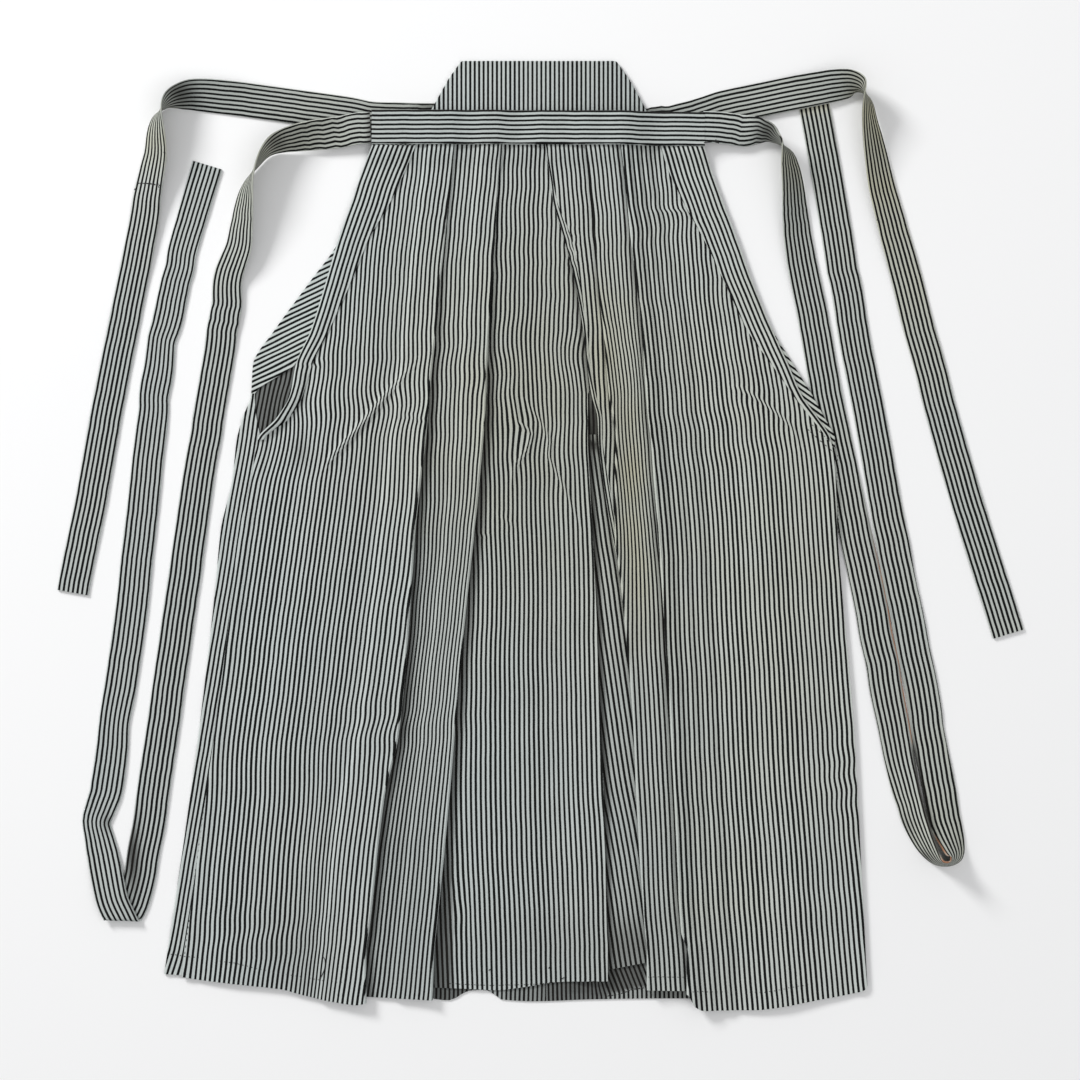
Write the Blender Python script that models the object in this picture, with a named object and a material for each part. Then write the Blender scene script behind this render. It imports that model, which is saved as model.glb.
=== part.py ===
"""Hakama trousers laid flat, front up, with the band's and the back board's ties spread out beside them.

The tables below are in millimetres. "down" is measured from the top edge of the back board towards
the hem, and "across" from the centre line, plus to the right. "left" and "right" are as seen from
above. Cloth is a wall that lies in layers: a piece with n layers under it has its middle at half a
wall plus n times LAYER, which leaves the same small gap between any two layers.
"""

import math

import bmesh
import bpy
from mathutils import Vector

MM = 0.001

# ---------------------------------------------------------------- driving sizes, mm
LENGTH = 1005.0             # back board's top edge to the lowest point of the hem
CENTRE_SHIFT = 0.65         # from the garment's centre line to the middle of its whole spread
WALL = 1.2                  # one thickness of cloth
LAYER = 1.5                 # from one layer of cloth to the next, middle to middle
SEAM_GAP = 0.3              # between pieces that meet
TURN_STEPS = 3              # facets round a fold of the cloth

BOARD_TOP_WIDTH = 170.0
BOARD_LOW_WIDTH = 228.0
BOARD_SLANT = 52.0          # height of the slanted sides, below which they run straight down
BOARD_HEIGHT = 83.5
BOARD_THICK = 5.0
BOARD_SHIFT = -2.9          # its middle from the centre line
BOARD_CORNER = 5.0          # radius of its top corners
BOARD_EDGE = 1.0            # rounding of its edges

BAND_TOP = 52.0             # down
BAND_BOTTOM = 88.5
BAND_LEFT = -179.5          # across
BAND_RIGHT = 172.5
BAND_THICK = 2.4
BAND_STEP = 11.0            # between the band's sections
BAND_REACH = 15.0           # it clears the highest cloth within this distance
BAND_WAVE = 0.6             # how far its lower edge wavers, and over what length
BAND_WAVE_LENGTH = 17.0
FACING_TOP = 89.6           # down
FACING_END = 401.0
FACING_PARTS = (0.0, 0.4, 0.8, 1.0)
FACING_LIFT = 1.8           # from the side panel's middle to the facing's
LAP_WIDTH = 18.0            # where the fronts lap over the backs' turned edges

TIE_WIDTH = 33.0
TIE_THICK = 2.2
TIE_STEP = 24.0             # longest stretch between two sections of a tie
TIE_TURN = 13.0             # largest turn or roll between two sections, degrees
FOLD_STEPS = 5              # facets where the left front tie doubles back

BACK_TOP = 84.0             # down, where the back panels meet the board
BACK_SEAM = 5.0             # across, the seam between the back panels
BACK_MIDDLE = 0.35          # share of the way from the seam to the edge
BACK_EDGE = 8.0             # last flat place before the turned edge
TURNED_MIDDLE = 0.55        # share of the way over the turned edge

BOARD_RISE = 3.8            # how far the fronts climb on to the board
BOARD_RISE_FROM = 117.0     # down
BOARD_RISE_TO = 92.0

STRAP_LIFT = 2.6            # the right edge lies on the right front tie here
STRAP_ROWS = ((285, 0.0), (322, 1.0), (497, 1.0), (560, 0.0))
STRAP_REACH = (110.0, 25.0)  # from the back's edge, where the lift starts and where it is full

PUFF = 3.0                  # how far the front folds stand up
PUFF_ROWS = (92.0, 189.0)   # down; flat above the first, full below the second
BILLOW = 2.0                # how far the side panels rise between their edges
LIP = 3.0                   # how far the left side opening gapes
LIP_OPENS = (322.0, 370.0)  # down
LIP_CLOSES = (410.0, 385.0)
CREASE_WIDTH = 15.0         # half the width of a crease

# ---------------------------------------------------------------- sections, top to hem
COLUMNS = ("down", "back_left", "turned_left", "front_left", "facing_left", "fold_l1", "fold_l2",
           "middle", "fold_r1", "fold_r2", "fold_r3", "facing_right", "front_right",
           "turned_right", "back_right")
SECTIONS = (
    (56, -178, -167, -179, 48, -92, -43, 88, 4, 47, 84, 48, 172, 160, 171),
    (92, -179, -168, -180, 46, -92, -43, 88, 4, 47, 84, 46, 172, 160, 171),
    (117, -189, -178, -190, 45, -95, -45, 92, 8, 50, 87, 45, 180, 169, 179),
    (147, -199, -189, -200, 41, -98, -47, 96, 12, 53, 90, 42, 191, 180, 190),
    (189, -214, -206, -215, 32, -102, -49, 101, 24, 56, 94, 35, 207, 198, 206),
    (237, -248, -221, -229, 26, -107, -52, 108, 36, 59, 100, 29, 224, 217, 223),
    (285, -283, -239, -244, 19, -111, -55, 114, 44, 65, 106, 26, 244, 237, 245),
    (322, -306, -262, -260, 17, -115, -57, 80, 48, 68, 108, 17, 261, 257, 267),
    (354, -308, -304, -266, 13, -118, -58, 49, 53, 71, 110, 9, 275, 271, 287),
    (378, -317, -302, -280, 13, -120, -59, 49, 59, 75, 112, 7, 292, 288, 300),
    (401, -323, -298, -301, 7, -122, -61, 49, 62, 78, 115, 5, 306, 302, 311),
    (444, -328, -303, -307, 18, -127, -65, 51, 70, 77, 118, 18, 311, 306, 310),
    (497, -340, -316, -320, 18, -133, -70, 54, 80, 77, 122, 18, 313, 308, 312),
    (560, -346, -323, -327, 18, -137, -77, 57, 88, 84, 127, 18, 318, 313, 317),
    (709, -363, -342, -346, 18, -150, -91, 63, 101, 97, 136, 18, 331, 326, 330),
    (783, -373, -352, -356, 18, -166, -97, 66, 104, 100, 140, 18, 335, 330, 334),
    (921, -393, -371, -375, 18, -182, -111, 69, 113, 109, 147, 18, 342, 337, 341),
    (940, -396, -374, -378, 18, -185, -115, 70, 115, 111, 153, 18, 343, 338, 342),
    (968, -400, -377, -381, 18, -185, -115, 70, 115, 111, 153, 18, 345, 340, 344),
)

# how far each pleat is tucked under, at the waist and at the hem
TUCK_L1 = (22.0, 46.0)
TUCK_L2 = (16.0, 36.0)
RAMP_LEFT = (8.0, 2.0)      # the layers above start and end their climb this far before a tuck

# right pleats: distances from the third fold, before they shrink towards the waist
UNDER_END = 8.0
TUCK_R2 = 24.0
TUCK_R3 = 40.0
DROPS = ((10.0, 18.0), (26.0, 34.0), (42.0, 54.0))
WAIST_SHRINK = 0.6
SHRINK_ROWS = (117.0, 300.0)
PUFF_R1 = (8.0, 2.0)        # reach and height
PUFF_R1_ROWS = (444.0, 378.0)  # below the first it lies flat
PUFF_R2 = (20.0, 2.5)
PUFF_R3_REACH = 30.0

# inner leg panel
INNER_TOP = 401.0
INNER_ROWS = (378.0, 401.0)  # where the middle panel climbs on to it
INNER_UNDER = 25.0          # how far it reaches under the middle panel
INNER_RAMP = (37.0, 28.0)   # from the middle panel's edge, where that climbs on to it
INNER_COLUMNS = 3

# hems: (across, down)
HEM_SIDE_LEFT = ((-400, 968), (-381, 970), (-362, 973), (-310, 979), (-275, 983), (-253, 989),
                 (-220, 996), (-195, 999), (-186, 997))
HEM_PLEAT_LEFT = ((-240, 988), (-186, 991), (-116, 994))
HEM_MIDDLE = ((-160, 980), (-92, 982), (-48, 984), (-28, 982), (23, 975), (70, 974))
HEM_INNER = ((45, 965), (72, 962), (111, 955), (160, 950))
HEM_UNDER_RIGHT = ((60, 968), (200, 976))
HEM_PLEAT_RIGHT = ((60, 976), (111, 983), (154, 984), (200, 982))
HEM_SIDE_RIGHT = ((150, 985), (155, 988), (162, 1000), (172, 1005), (223, 1005), (252, 1002),
                  (289, 995), (327, 988), (342, 984), (345, 979))
HEM_BACK = ((-400, 967), (-310, 974), (-220, 985), (-118, 993), (-99, 995), (-88, 991), (-79, 985),
            (-60, 984), (-52, 987), (-43, 994), (-8, 996), (52, 994), (79, 986), (105, 982),
            (125, 985), (154, 991), (223, 994), (289, 986), (345, 974))

# creases: ends as (across, down), and how high they stand
CREASES_LEFT = ((-138, 324, -230, 432, 3.0),)
CREASES_MIDDLE = ((-34, 338, -33, 451, 2.2), (-15, 362, 40, 491, 2.2))
CREASES_RIGHT = ((204, 346, 273, 405, 2.6),)

# ---------------------------------------------------------------- ties
# roll is in degrees about the tie's own length; lift is that of its lower edge off the table
TIE_COLUMNS = ("across", "down", "roll", "lift")
FRONT_TIE_LEFT_OUT = (
    (-180.8, 70, 0, 8.3), (-193, 70.5, -2, 7.4), (-214, 75, -6, 5.2), (-252, 80, -30, 2.9),
    (-277, 87, -54, 0.6), (-291, 97, -76, 0), (-301, 113, -92, 0), (-309, 130, -112, 0),
    (-313, 147, -128, 0), (-319, 184, -150, 0), (-326, 213, -164, 0), (-331, 229, -172, 0),
    (-333, 274, -178, 0), (-343, 327, -180, 0), (-352, 380, -180, 0), (-366, 465, -180, 0),
    (-379, 571, -180, 0), (-405, 740, -180, 0), (-413, 783, -180, 0), (-420, 836, -180, 0),
    (-426, 868, -180, 0), (-433, 892, -180, 0), (-441, 907, -180, 0),
)
FRONT_TIE_LEFT_BACK = (
    (-446, 907, 0, 5.0), (-453, 889, 0, 4.4), (-458, 868, 0, 3.2), (-463, 846, 0, 1.2),
    (-467, 825, 0, 0), (-469, 806, 0, 0), (-462, 772, 0, 0), (-457, 740, 0, 0),
    (-437, 592, 0, 0), (-419, 465, 0, 0), (-409, 354, 0, 0), (-405, 327, 0, 0),
    (-393, 263, 0, 0), (-375, 189, 0, 0), (-352, 110, 0, 0),
)
FRONT_TIE_RIGHT = (
    (173.8, 70, 0, 8.3), (188, 70.3, 3, 7.2), (215, 73, 14, 4.4), (228, 74, 38, 2.8),
    (239, 76, 58, 1.0), (246, 81, 76, 0), (253, 88, 92, 0), (260, 100, 116, 0),
    (264, 115, 128, 0), (266, 136, 134, 0), (271, 175, 152, 0), (283, 250, 172, 0),
    (293, 307, 180, 0), (308, 380, 180, 0), (325, 465, 180, 0), (342, 550, 180, 0),
    (355, 624, 180, 0), (366, 677, 182, 0), (375, 722, 192, 0), (385, 772, 214, 0),
    (392, 802, 224, 0), (401, 826, 232, 0), (411, 841, 246, 0), (421, 848, 257, 0),
    (433, 848, 254, 0), (440, 841, 236, 0), (440, 828, 222, 0), (433, 806, 200, 0),
    (424, 772, 186, 0), (414, 722, 182, 0), (406, 677, 180, 0), (395, 624, 180, 0),
    (379, 544, 180, 0), (365, 465, 180, 0), (341, 341, 180, 0), (324, 250, 180, 0),
    (308, 153, 180, 0), (299, 97, 180, 0), (290, 47, 180, 0),
)
BACK_TIE_LEFT = (
    (-118.5, 61, 0, 0), (-150, 60, 0, 0), (-181, 59, 0, 0), (-203, 54, 0, 0), (-252, 48, 0, 0),
    (-330, 38, -12, 0), (-366, 35, -24, 0), (-381, 38, -44, 0), (-391, 42, -64, 0),
    (-399, 49, -90, 0), (-406, 65, -116, 0), (-408, 99, -136, 0), (-412, 131, -156, 0),
    (-423, 184, -174, 0), (-435, 250, -180, 0), (-456, 359, -180, 0), (-475, 465, -180, 0),
    (-494, 563, -180, 0),
)
BACK_TIE_RIGHT = (
    (112.8, 61, 0, 0), (142, 60, 0, 0), (189, 49, 0, 0.3), (246, 38, 0, 2.0), (277, 33, 4, 2.9),
    (302, 29, 12, 2.9), (323, 26, 30, 1.6), (334, 27, 56, 0.3), (340, 33, 90, 0),
    (344, 44, 112, 0), (347, 62, 122, 0), (350, 83, 134, 0), (355, 104, 142, 0),
    (363, 139, 152, 0), (375, 187, 168, 0), (393, 253, 180, 0), (440, 420, 180, 0),
    (493, 607, 180, 0),
)

# ---------------------------------------------------------------- finishes
STRIPED_CLOTH = (0.42, 0.44, 0.42)
SHADED_CLOTH = (0.36, 0.38, 0.36)
CLOTH_ROUGHNESS = 0.85
SHARP_ANGLE = 35.0          # degrees, edges sharper than this are shaded sharp


# ---------------------------------------------------------------- small helpers
def ramp(value, start, end):
    """0 before start, 1 past end, straight between them; start may lie beyond end."""
    return min(1.0, max(0.0, (value - start) / (end - start)))


def lookup(table, value):
    """The second column of a table at a value of the first, straight between rows."""
    if value <= table[0][0]:
        return table[0][1]
    for (low, low_size), (high, high_size) in zip(table, table[1:]):
        if value <= high:
            return low_size + (high_size - low_size) * (value - low) / (high - low)
    return table[-1][1]


def spread(start, end, count):
    """Places inside a stretch, without its two ends."""
    return [start + (end - start) * step / (count + 1) for step in range(1, count + 1)]


def world(across, down, height):
    """A place in the tables' own terms, as a point in metres."""
    return Vector((across + CENTRE_SHIFT, LENGTH / 2 - down, height)) * MM


def section_rows(first=0.0):
    """The table's rows from a depth on, as dictionaries by column name."""
    rows = [dict(zip(COLUMNS, values)) for values in SECTIONS]
    for row in rows:
        row["at_hem"] = row is rows[-1]
    return [row for row in rows if row["down"] >= first]


def base_height(row, across):
    """Middle of a layer of cloth that lies on the table, or on what lifts it off the table."""
    lift = STRAP_LIFT * lookup(STRAP_ROWS, row["down"])
    lift *= ramp(across, row["back_right"] - STRAP_REACH[0], row["back_right"] - STRAP_REACH[1])
    return WALL / 2 + lift


def front_height(row, across, layers):
    rise = BOARD_RISE * ramp(row["down"], BOARD_RISE_FROM, BOARD_RISE_TO)
    return base_height(row, across) + rise + LAYER * layers


def puff(distance, reach, row, height=PUFF):
    """Extra height near a soft fold; the folds are pressed flat under the band."""
    size = height * ramp(row["down"], *PUFF_ROWS)
    return size * (1.0 - ramp(distance, 0.0, reach)) ** 2


def crease_height(creases, across, down):
    """Height that straight creases add at a place."""
    total = 0.0
    for x0, y0, x1, y1, height in creases:
        length = math.hypot(x1 - x0, y1 - y0)
        along = ((across - x0) * (x1 - x0) + (down - y0) * (y1 - y0)) / length
        aside = abs((across - x0) * (y1 - y0) - (down - y0) * (x1 - x0)) / length
        ends = ramp(along, -CREASE_WIDTH, CREASE_WIDTH)
        ends *= ramp(along, length + CREASE_WIDTH, length - CREASE_WIDTH)
        total += height * ends * (1.0 - ramp(aside, 0.0, CREASE_WIDTH)) ** 2
    return total


def turn(fold, side, z_from, z_to):
    """Points round a fold whose outer face reaches `fold`; side is +1 where it points right."""
    radius = abs(z_to - z_from) / 2
    centre = (z_from + z_to) / 2
    points = []
    for step in range(TURN_STEPS + 1):
        angle = math.pi * step / TURN_STEPS
        across = fold - side * (WALL / 2 + radius * (1.0 - math.sin(angle)))
        height = centre + (z_from - centre) * math.cos(angle)
        points.append((across, height))
    return points


# ---------------------------------------------------------------- making solids
def finish(name):
    material = bpy.data.materials.new(name)
    material.use_nodes = True
    shader = material.node_tree.nodes["Principled BSDF"]
    shaded = name.startswith("inner") or name.startswith("back_panel")
    colour = SHADED_CLOTH if shaded else STRIPED_CLOTH
    shader.inputs["Base Color"].default_value = (*colour, 1.0)
    shader.inputs["Roughness"].default_value = CLOTH_ROUGHNESS
    shader.inputs["Metallic"].default_value = 0.0
    return material


def add_object(name, shape):
    mesh = bpy.data.meshes.new(name)
    bmesh.ops.recalc_face_normals(shape, faces=shape.faces)
    shape.to_mesh(mesh)
    shape.free()
    mesh.shade_smooth()
    mesh.set_sharp_from_angle(angle=math.radians(SHARP_ANGLE))
    mesh.materials.append(finish(name))
    part = bpy.data.objects.new(name, mesh)
    bpy.context.scene.collection.objects.link(part)
    return part


def cloth_solid(name, sections):
    """A closed wall through sections, each a pair of equal lists: face points and back points.

    Triangles lie in pairs, one on each side, so the wall keeps its thickness where it twists,
    and are split the same way in every layer, so that stacked layers keep their gap.
    """
    shape = bmesh.new()
    rings = []
    for face, back in sections:
        points = list(face) + list(reversed(back))
        rings.append([shape.verts.new(point) for point in points])
    last = len(rings[0]) - 1
    columns = len(rings[0]) // 2 - 1
    for ring, following in zip(rings, rings[1:]):
        for near in range(columns):
            far = near + 1
            if ring[near].co.x > ring[far].co.x:
                near, far = far, near
            for a, b in ((near, far), (last - near, last - far)):
                shape.faces.new((ring[a], ring[b], following[b]))
                shape.faces.new((ring[a], following[b], following[a]))
        for a, b in ((0, last), (columns, columns + 1)):
            shape.faces.new((ring[a], ring[b], following[b], following[a]))
    for ring in (rings[0], rings[-1]):
        for near in range(columns):
            shape.faces.new((ring[near], ring[near + 1], ring[last - near - 1], ring[last - near]))
    return add_object(name, shape)


def wall_section(stretches, row):
    """Both faces of a wall in one section.

    A stretch is a hem table and a list of (across, height) for the wall's middle.
    """
    middle = [(hem, place) for hem, places in stretches for place in places]
    face = []
    back = []
    for count, (hem, (across, height)) in enumerate(middle):
        before = middle[max(count - 1, 0)][1]
        after = middle[min(count + 1, len(middle) - 1)][1]
        along = Vector((after[0] - before[0], after[1] - before[1])).normalized() * (WALL / 2)
        down = lookup(hem, across) if row["at_hem"] else row["down"]
        face.append(world(across - along.y, down, height + along.x))
        back.append(world(across + along.y, down, height - along.x))
    return face, back


# ---------------------------------------------------------------- fronts
def edge_width(row, column):
    """Width of the strip along an opening edge, or of the lap at the side seam where it ends."""
    return max(row[column], LAP_WIDTH)


def wrap_left(row, across):
    """Share of a layer that the back's turned edge puts under the left front's edge."""
    edge, width = row["front_left"], edge_width(row, "facing_left")
    return 1.0 - ramp(across, edge + FACING_PARTS[1] * width, edge + FACING_PARTS[2] * width)


def wrap_right(row, across):
    edge, width = row["front_right"], edge_width(row, "facing_right")
    return ramp(across, edge - FACING_PARTS[2] * width, edge - FACING_PARTS[1] * width)


def lip(row, across):
    """The left side opening gapes where its edge leaves the back."""
    gape = LIP * ramp(row["down"], *LIP_OPENS) * ramp(row["down"], *LIP_CLOSES)
    inner = row["front_left"] + edge_width(row, "facing_left")
    return gape * (1.0 - ramp(across, row["front_left"], inner))


def tuck(row, sizes):
    """How deep a pleat is tucked at this row."""
    return sizes[0] + (sizes[1] - sizes[0]) * row["down"] / LENGTH


def side_left_height(row, across):
    fold = row["fold_l1"]
    depth = tuck(row, TUCK_L1)
    climb = ramp(across, fold - depth - RAMP_LEFT[0], fold - depth - RAMP_LEFT[1])
    height = front_height(row, across, 1 + wrap_left(row, across) + 2 * climb)
    field_start = row["front_left"] + edge_width(row, "facing_left")
    field = ramp(across, field_start, fold - depth - RAMP_LEFT[0])
    height += BILLOW * math.sin(math.pi * field) * ramp(row["down"], *PUFF_ROWS)
    height += crease_height(CREASES_LEFT, across, row["down"]) * ramp(field, 0.0, 0.1)
    return height + puff(fold - across, depth, row) + lip(row, across)


def front_left_points(row):
    """Side panel, first pleat, strip, second pleat and middle panel, from left to right."""
    edge, width = row["front_left"], edge_width(row, "facing_left")
    fold1, fold2 = row["fold_l1"], row["fold_l2"]
    depth1, depth2 = tuck(row, TUCK_L1), tuck(row, TUCK_L2)
    climb_start, climb_end = RAMP_LEFT

    def strip_height(across):
        climb = ramp(across, fold2 - depth2 - climb_start, fold2 - depth2 - climb_end)
        height = front_height(row, across, 1 + 2 * climb)
        return height + puff(fold2 - across, depth2, row)

    def middle_height(across):
        over_inner = ramp(across, row["middle"] - INNER_RAMP[0], row["middle"] - INNER_RAMP[1])
        over_inner *= ramp(row["down"], *INNER_ROWS)
        height = front_height(row, across, 1 + over_inner)
        return height + crease_height(CREASES_MIDDLE, across, row["down"])

    side = [edge + width * part for part in FACING_PARTS]
    side += spread(side[-1], fold1 - depth1 - climb_start, 6)
    side += [fold1 - depth1 - climb_start, fold1 - depth1 - climb_end]
    side += [fold1 - depth1 / 2, fold1 - depth1 / 4]
    side_points = [(across, side_left_height(row, across)) for across in side]
    low = front_height(row, fold1, 1)
    top = side_left_height(row, fold1 - WALL / 2)
    side_points += turn(fold1, 1, top, low + LAYER)

    pleat_points = [(fold1 - depth1 / 2, low + LAYER)]
    pleat_points += turn(fold1 - depth1, -1, low + LAYER, low)
    strip = [fold1 - depth1 / 2, fold1 - WALL]
    strip += [fold2 - depth2 - climb_start, fold2 - depth2 - climb_end, fold2 - depth2 / 2]
    pleat_points += [(across, strip_height(across)) for across in strip]
    low = front_height(row, fold2, 1)
    pleat_points += turn(fold2, 1, strip_height(fold2 - WALL / 2), low + LAYER)

    middle_points = [(fold2 - depth2 / 2, low + LAYER)]
    middle_points += turn(fold2 - depth2, -1, low + LAYER, low)
    middle = [fold2 - depth2 / 2, fold2]
    middle += spread(fold2, row["middle"] - INNER_RAMP[0], 6)
    middle += [row["middle"] - INNER_RAMP[0], row["middle"] - INNER_RAMP[1], row["middle"]]
    middle_points += [(across, middle_height(across)) for across in middle]
    return ((HEM_SIDE_LEFT, side_points), (HEM_PLEAT_LEFT, pleat_points),
            (HEM_MIDDLE, middle_points))


def shrink(row):
    """Pleat depths on the right, smaller towards the waist."""
    return WAIST_SHRINK + (1.0 - WAIST_SHRINK) * ramp(row["down"], *SHRINK_ROWS)


def right_layers(row, across, drops):
    """Layers under a right-hand piece that lies over the given number of tucks."""
    size = shrink(row)
    layers = 1.0
    for start, end in DROPS[:drops]:
        start_at = row["fold_r3"] + start * size
        end_at = row["fold_r3"] + end * size
        layers += 2.0 * (1.0 - ramp(across, start_at, end_at))
    return layers


def side_right_height(row, across):
    fold = row["fold_r3"]
    layers = right_layers(row, across, 3) + wrap_right(row, across)
    height = front_height(row, across, layers)
    field_start = fold + DROPS[2][1] * shrink(row)
    field = ramp(across, field_start, row["front_right"] - edge_width(row, "facing_right"))
    height += BILLOW * math.sin(math.pi * field) * ramp(row["down"], *PUFF_ROWS)
    height += crease_height(CREASES_RIGHT, across, row["down"]) * ramp(field, 1.0, 0.9)
    return height + puff(across - fold, PUFF_R3_REACH * shrink(row), row)


def front_right_points(row):
    """From the hidden inner end through three pleats to the side panel."""
    fold1, fold2, fold3 = row["fold_r1"], row["fold_r2"], row["fold_r3"]
    size = shrink(row)
    drop_places = [fold3 + place * size for pair in DROPS for place in pair]
    free_end = fold3 + UNDER_END * size
    end2 = fold3 + TUCK_R2 * size
    end3 = fold3 + TUCK_R3 * size
    soft = ramp(row["down"], *PUFF_R1_ROWS)

    def strip_height(across, drops, extra=0.0):
        return front_height(row, across, right_layers(row, across, drops) + extra)

    def inner_strip_height(across):
        raised = puff(across - fold1, PUFF_R1[0], row, PUFF_R1[1]) * soft
        return strip_height(across, 1) + raised

    def outer_strip_height(across):
        return strip_height(across, 2) + puff(across - fold2, PUFF_R2[0], row, PUFF_R2[1])

    under = front_height(row, fold1, 2)
    under_points = [(across, under) for across in (free_end, (fold1 + fold3) / 2)]
    under_points += turn(fold1, -1, under, inner_strip_height(fold1 + WALL / 2))
    strip = [fold1 + PUFF_R1[0], (fold1 + fold3) / 2, *drop_places[:2]]
    under_points += [(across, inner_strip_height(across)) for across in strip]
    level = strip_height(end2, 1)
    under_points += turn(end2, 1, level, level + LAYER)

    pleat_points = []
    strip = [drop_places[1], drop_places[0], (fold2 + fold3) / 2]
    pleat_points += [(across, strip_height(across, 1, 1.0)) for across in strip]
    level = strip_height(fold2, 1, 1.0)
    pleat_points += turn(fold2, -1, level, outer_strip_height(fold2 + WALL / 2))
    strip = [fold2 + PUFF_R2[0] / 2, fold2 + PUFF_R2[0], *drop_places[:4]]
    pleat_points += [(across, outer_strip_height(across)) for across in strip]
    level = strip_height(end3, 2)
    pleat_points += turn(end3, 1, level, level + LAYER)

    strip = list(reversed(drop_places[:4]))
    side_points = [(across, strip_height(across, 2, 1.0)) for across in strip]
    level = strip_height(fold3, 2, 1.0)
    side_points += turn(fold3, -1, level, side_right_height(row, fold3 + WALL / 2))
    edge, width = row["front_right"], edge_width(row, "facing_right")
    side = list(drop_places)
    side += spread(side[-1], edge - width, 5)
    side += [edge - width * part for part in reversed(FACING_PARTS)]
    side_points += [(across, side_right_height(row, across)) for across in side]
    return ((HEM_UNDER_RIGHT, under_points), (HEM_PLEAT_RIGHT, pleat_points),
            (HEM_SIDE_RIGHT, side_points))


def front_facing(name, rows, edge_column, width_column, inward, height_at):
    """The folded strip along a slanted opening edge, one layer above the side panel."""
    sections = []
    for row in rows:
        places = [row[edge_column] + inward * row[width_column] * part for part in FACING_PARTS]
        points = [(across, height_at(row, across) + FACING_LIFT) for across in places]
        sections.append(wall_section(((HEM_BACK, points),), row))
    return cloth_solid(name, sections)


# ---------------------------------------------------------------- backs, inner leg, board, band
def back_points(row, side):
    """A back panel from the seam to its edge, which is turned over on to the panel."""
    edge = row["back_left"] if side < 0 else row["back_right"]
    turned = row["turned_left"] if side < 0 else row["turned_right"]
    seam = BACK_SEAM + side * SEAM_GAP / 2
    flat = [seam, seam + (edge - seam) * BACK_MIDDLE]
    between = 4 if side > 0 else 1
    reaches = [STRAP_REACH[0], *spread(*STRAP_REACH, between), STRAP_REACH[1], BACK_EDGE]
    flat += [edge - side * reach for reach in reaches]
    points = [(across, base_height(row, across)) for across in flat]
    level = base_height(row, edge)
    points += turn(edge, side, level, level + LAYER)
    over = [edge + (turned - edge) * part for part in (TURNED_MIDDLE, 1.0)]
    points += [(across, base_height(row, across) + LAYER) for across in over]
    return ((HEM_BACK, points),)


def inner_leg_points(row):
    start = row["middle"] - INNER_UNDER
    end = row["fold_r3"] + UNDER_END * shrink(row)
    places = [start, *spread(start, end, INNER_COLUMNS), end]
    return ((HEM_INNER, [(across, front_height(row, across, 1)) for across in places]),)


def back_board():
    """A stiff trapezoid with rounded top corners and softened edges."""
    low = BOARD_LOW_WIDTH / 2
    top = BOARD_TOP_WIDTH / 2
    slope = (low - top) / BOARD_SLANT
    outline = [(-low, BOARD_HEIGHT), (low, BOARD_HEIGHT), (low, BOARD_SLANT)]
    outline += [(top + slope * BOARD_CORNER, BOARD_CORNER)]
    outline += [(top + slope * BOARD_CORNER * 0.25, BOARD_CORNER * 0.25)]
    outline += [(top - BOARD_CORNER * 0.75, 0.0)]
    outline += [(-across, down) for across, down in reversed(outline[2:])]
    shape = bmesh.new()
    corners = [shape.verts.new(world(across + BOARD_SHIFT, down, 0.0)) for across, down in outline]
    base = shape.faces.new(corners)
    raised = bmesh.ops.extrude_face_region(shape, geom=[base])["geom"]
    upper = [item for item in raised if isinstance(item, bmesh.types.BMVert)]
    bmesh.ops.translate(shape, verts=upper, vec=Vector((0.0, 0.0, BOARD_THICK * MM)))
    rim = [edge for edge in shape.edges if all(vert in upper for vert in edge.verts)]
    bmesh.ops.bevel(shape, geom=rim, offset=BOARD_EDGE * MM, segments=2, affect="EDGES", profile=0.5)
    return add_object("back_board", shape)


def front_band(left_sections, right_sections):
    """A folded tape over the pleats' top edges, which follows their height."""
    heights = []
    for stretches in (*left_sections, *right_sections):
        for _, points in stretches:
            heights += points
    sections = []
    count = round((BAND_RIGHT - BAND_LEFT) / BAND_STEP)
    for step in range(count + 1):
        across = BAND_LEFT + (BAND_RIGHT - BAND_LEFT) * step / count
        near = [height for place, height in heights if abs(place - across) <= BAND_REACH]
        under = max(near) + WALL / 2 + SEAM_GAP
        low_edge = BAND_BOTTOM + BAND_WAVE * math.sin(across / BAND_WAVE_LENGTH)
        face = [world(across, down, under + BAND_THICK) for down in (BAND_TOP, low_edge)]
        back = [world(across, down, under) for down in (BAND_TOP, low_edge)]
        sections.append((face, back))
    return cloth_solid("front_band", sections)


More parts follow.
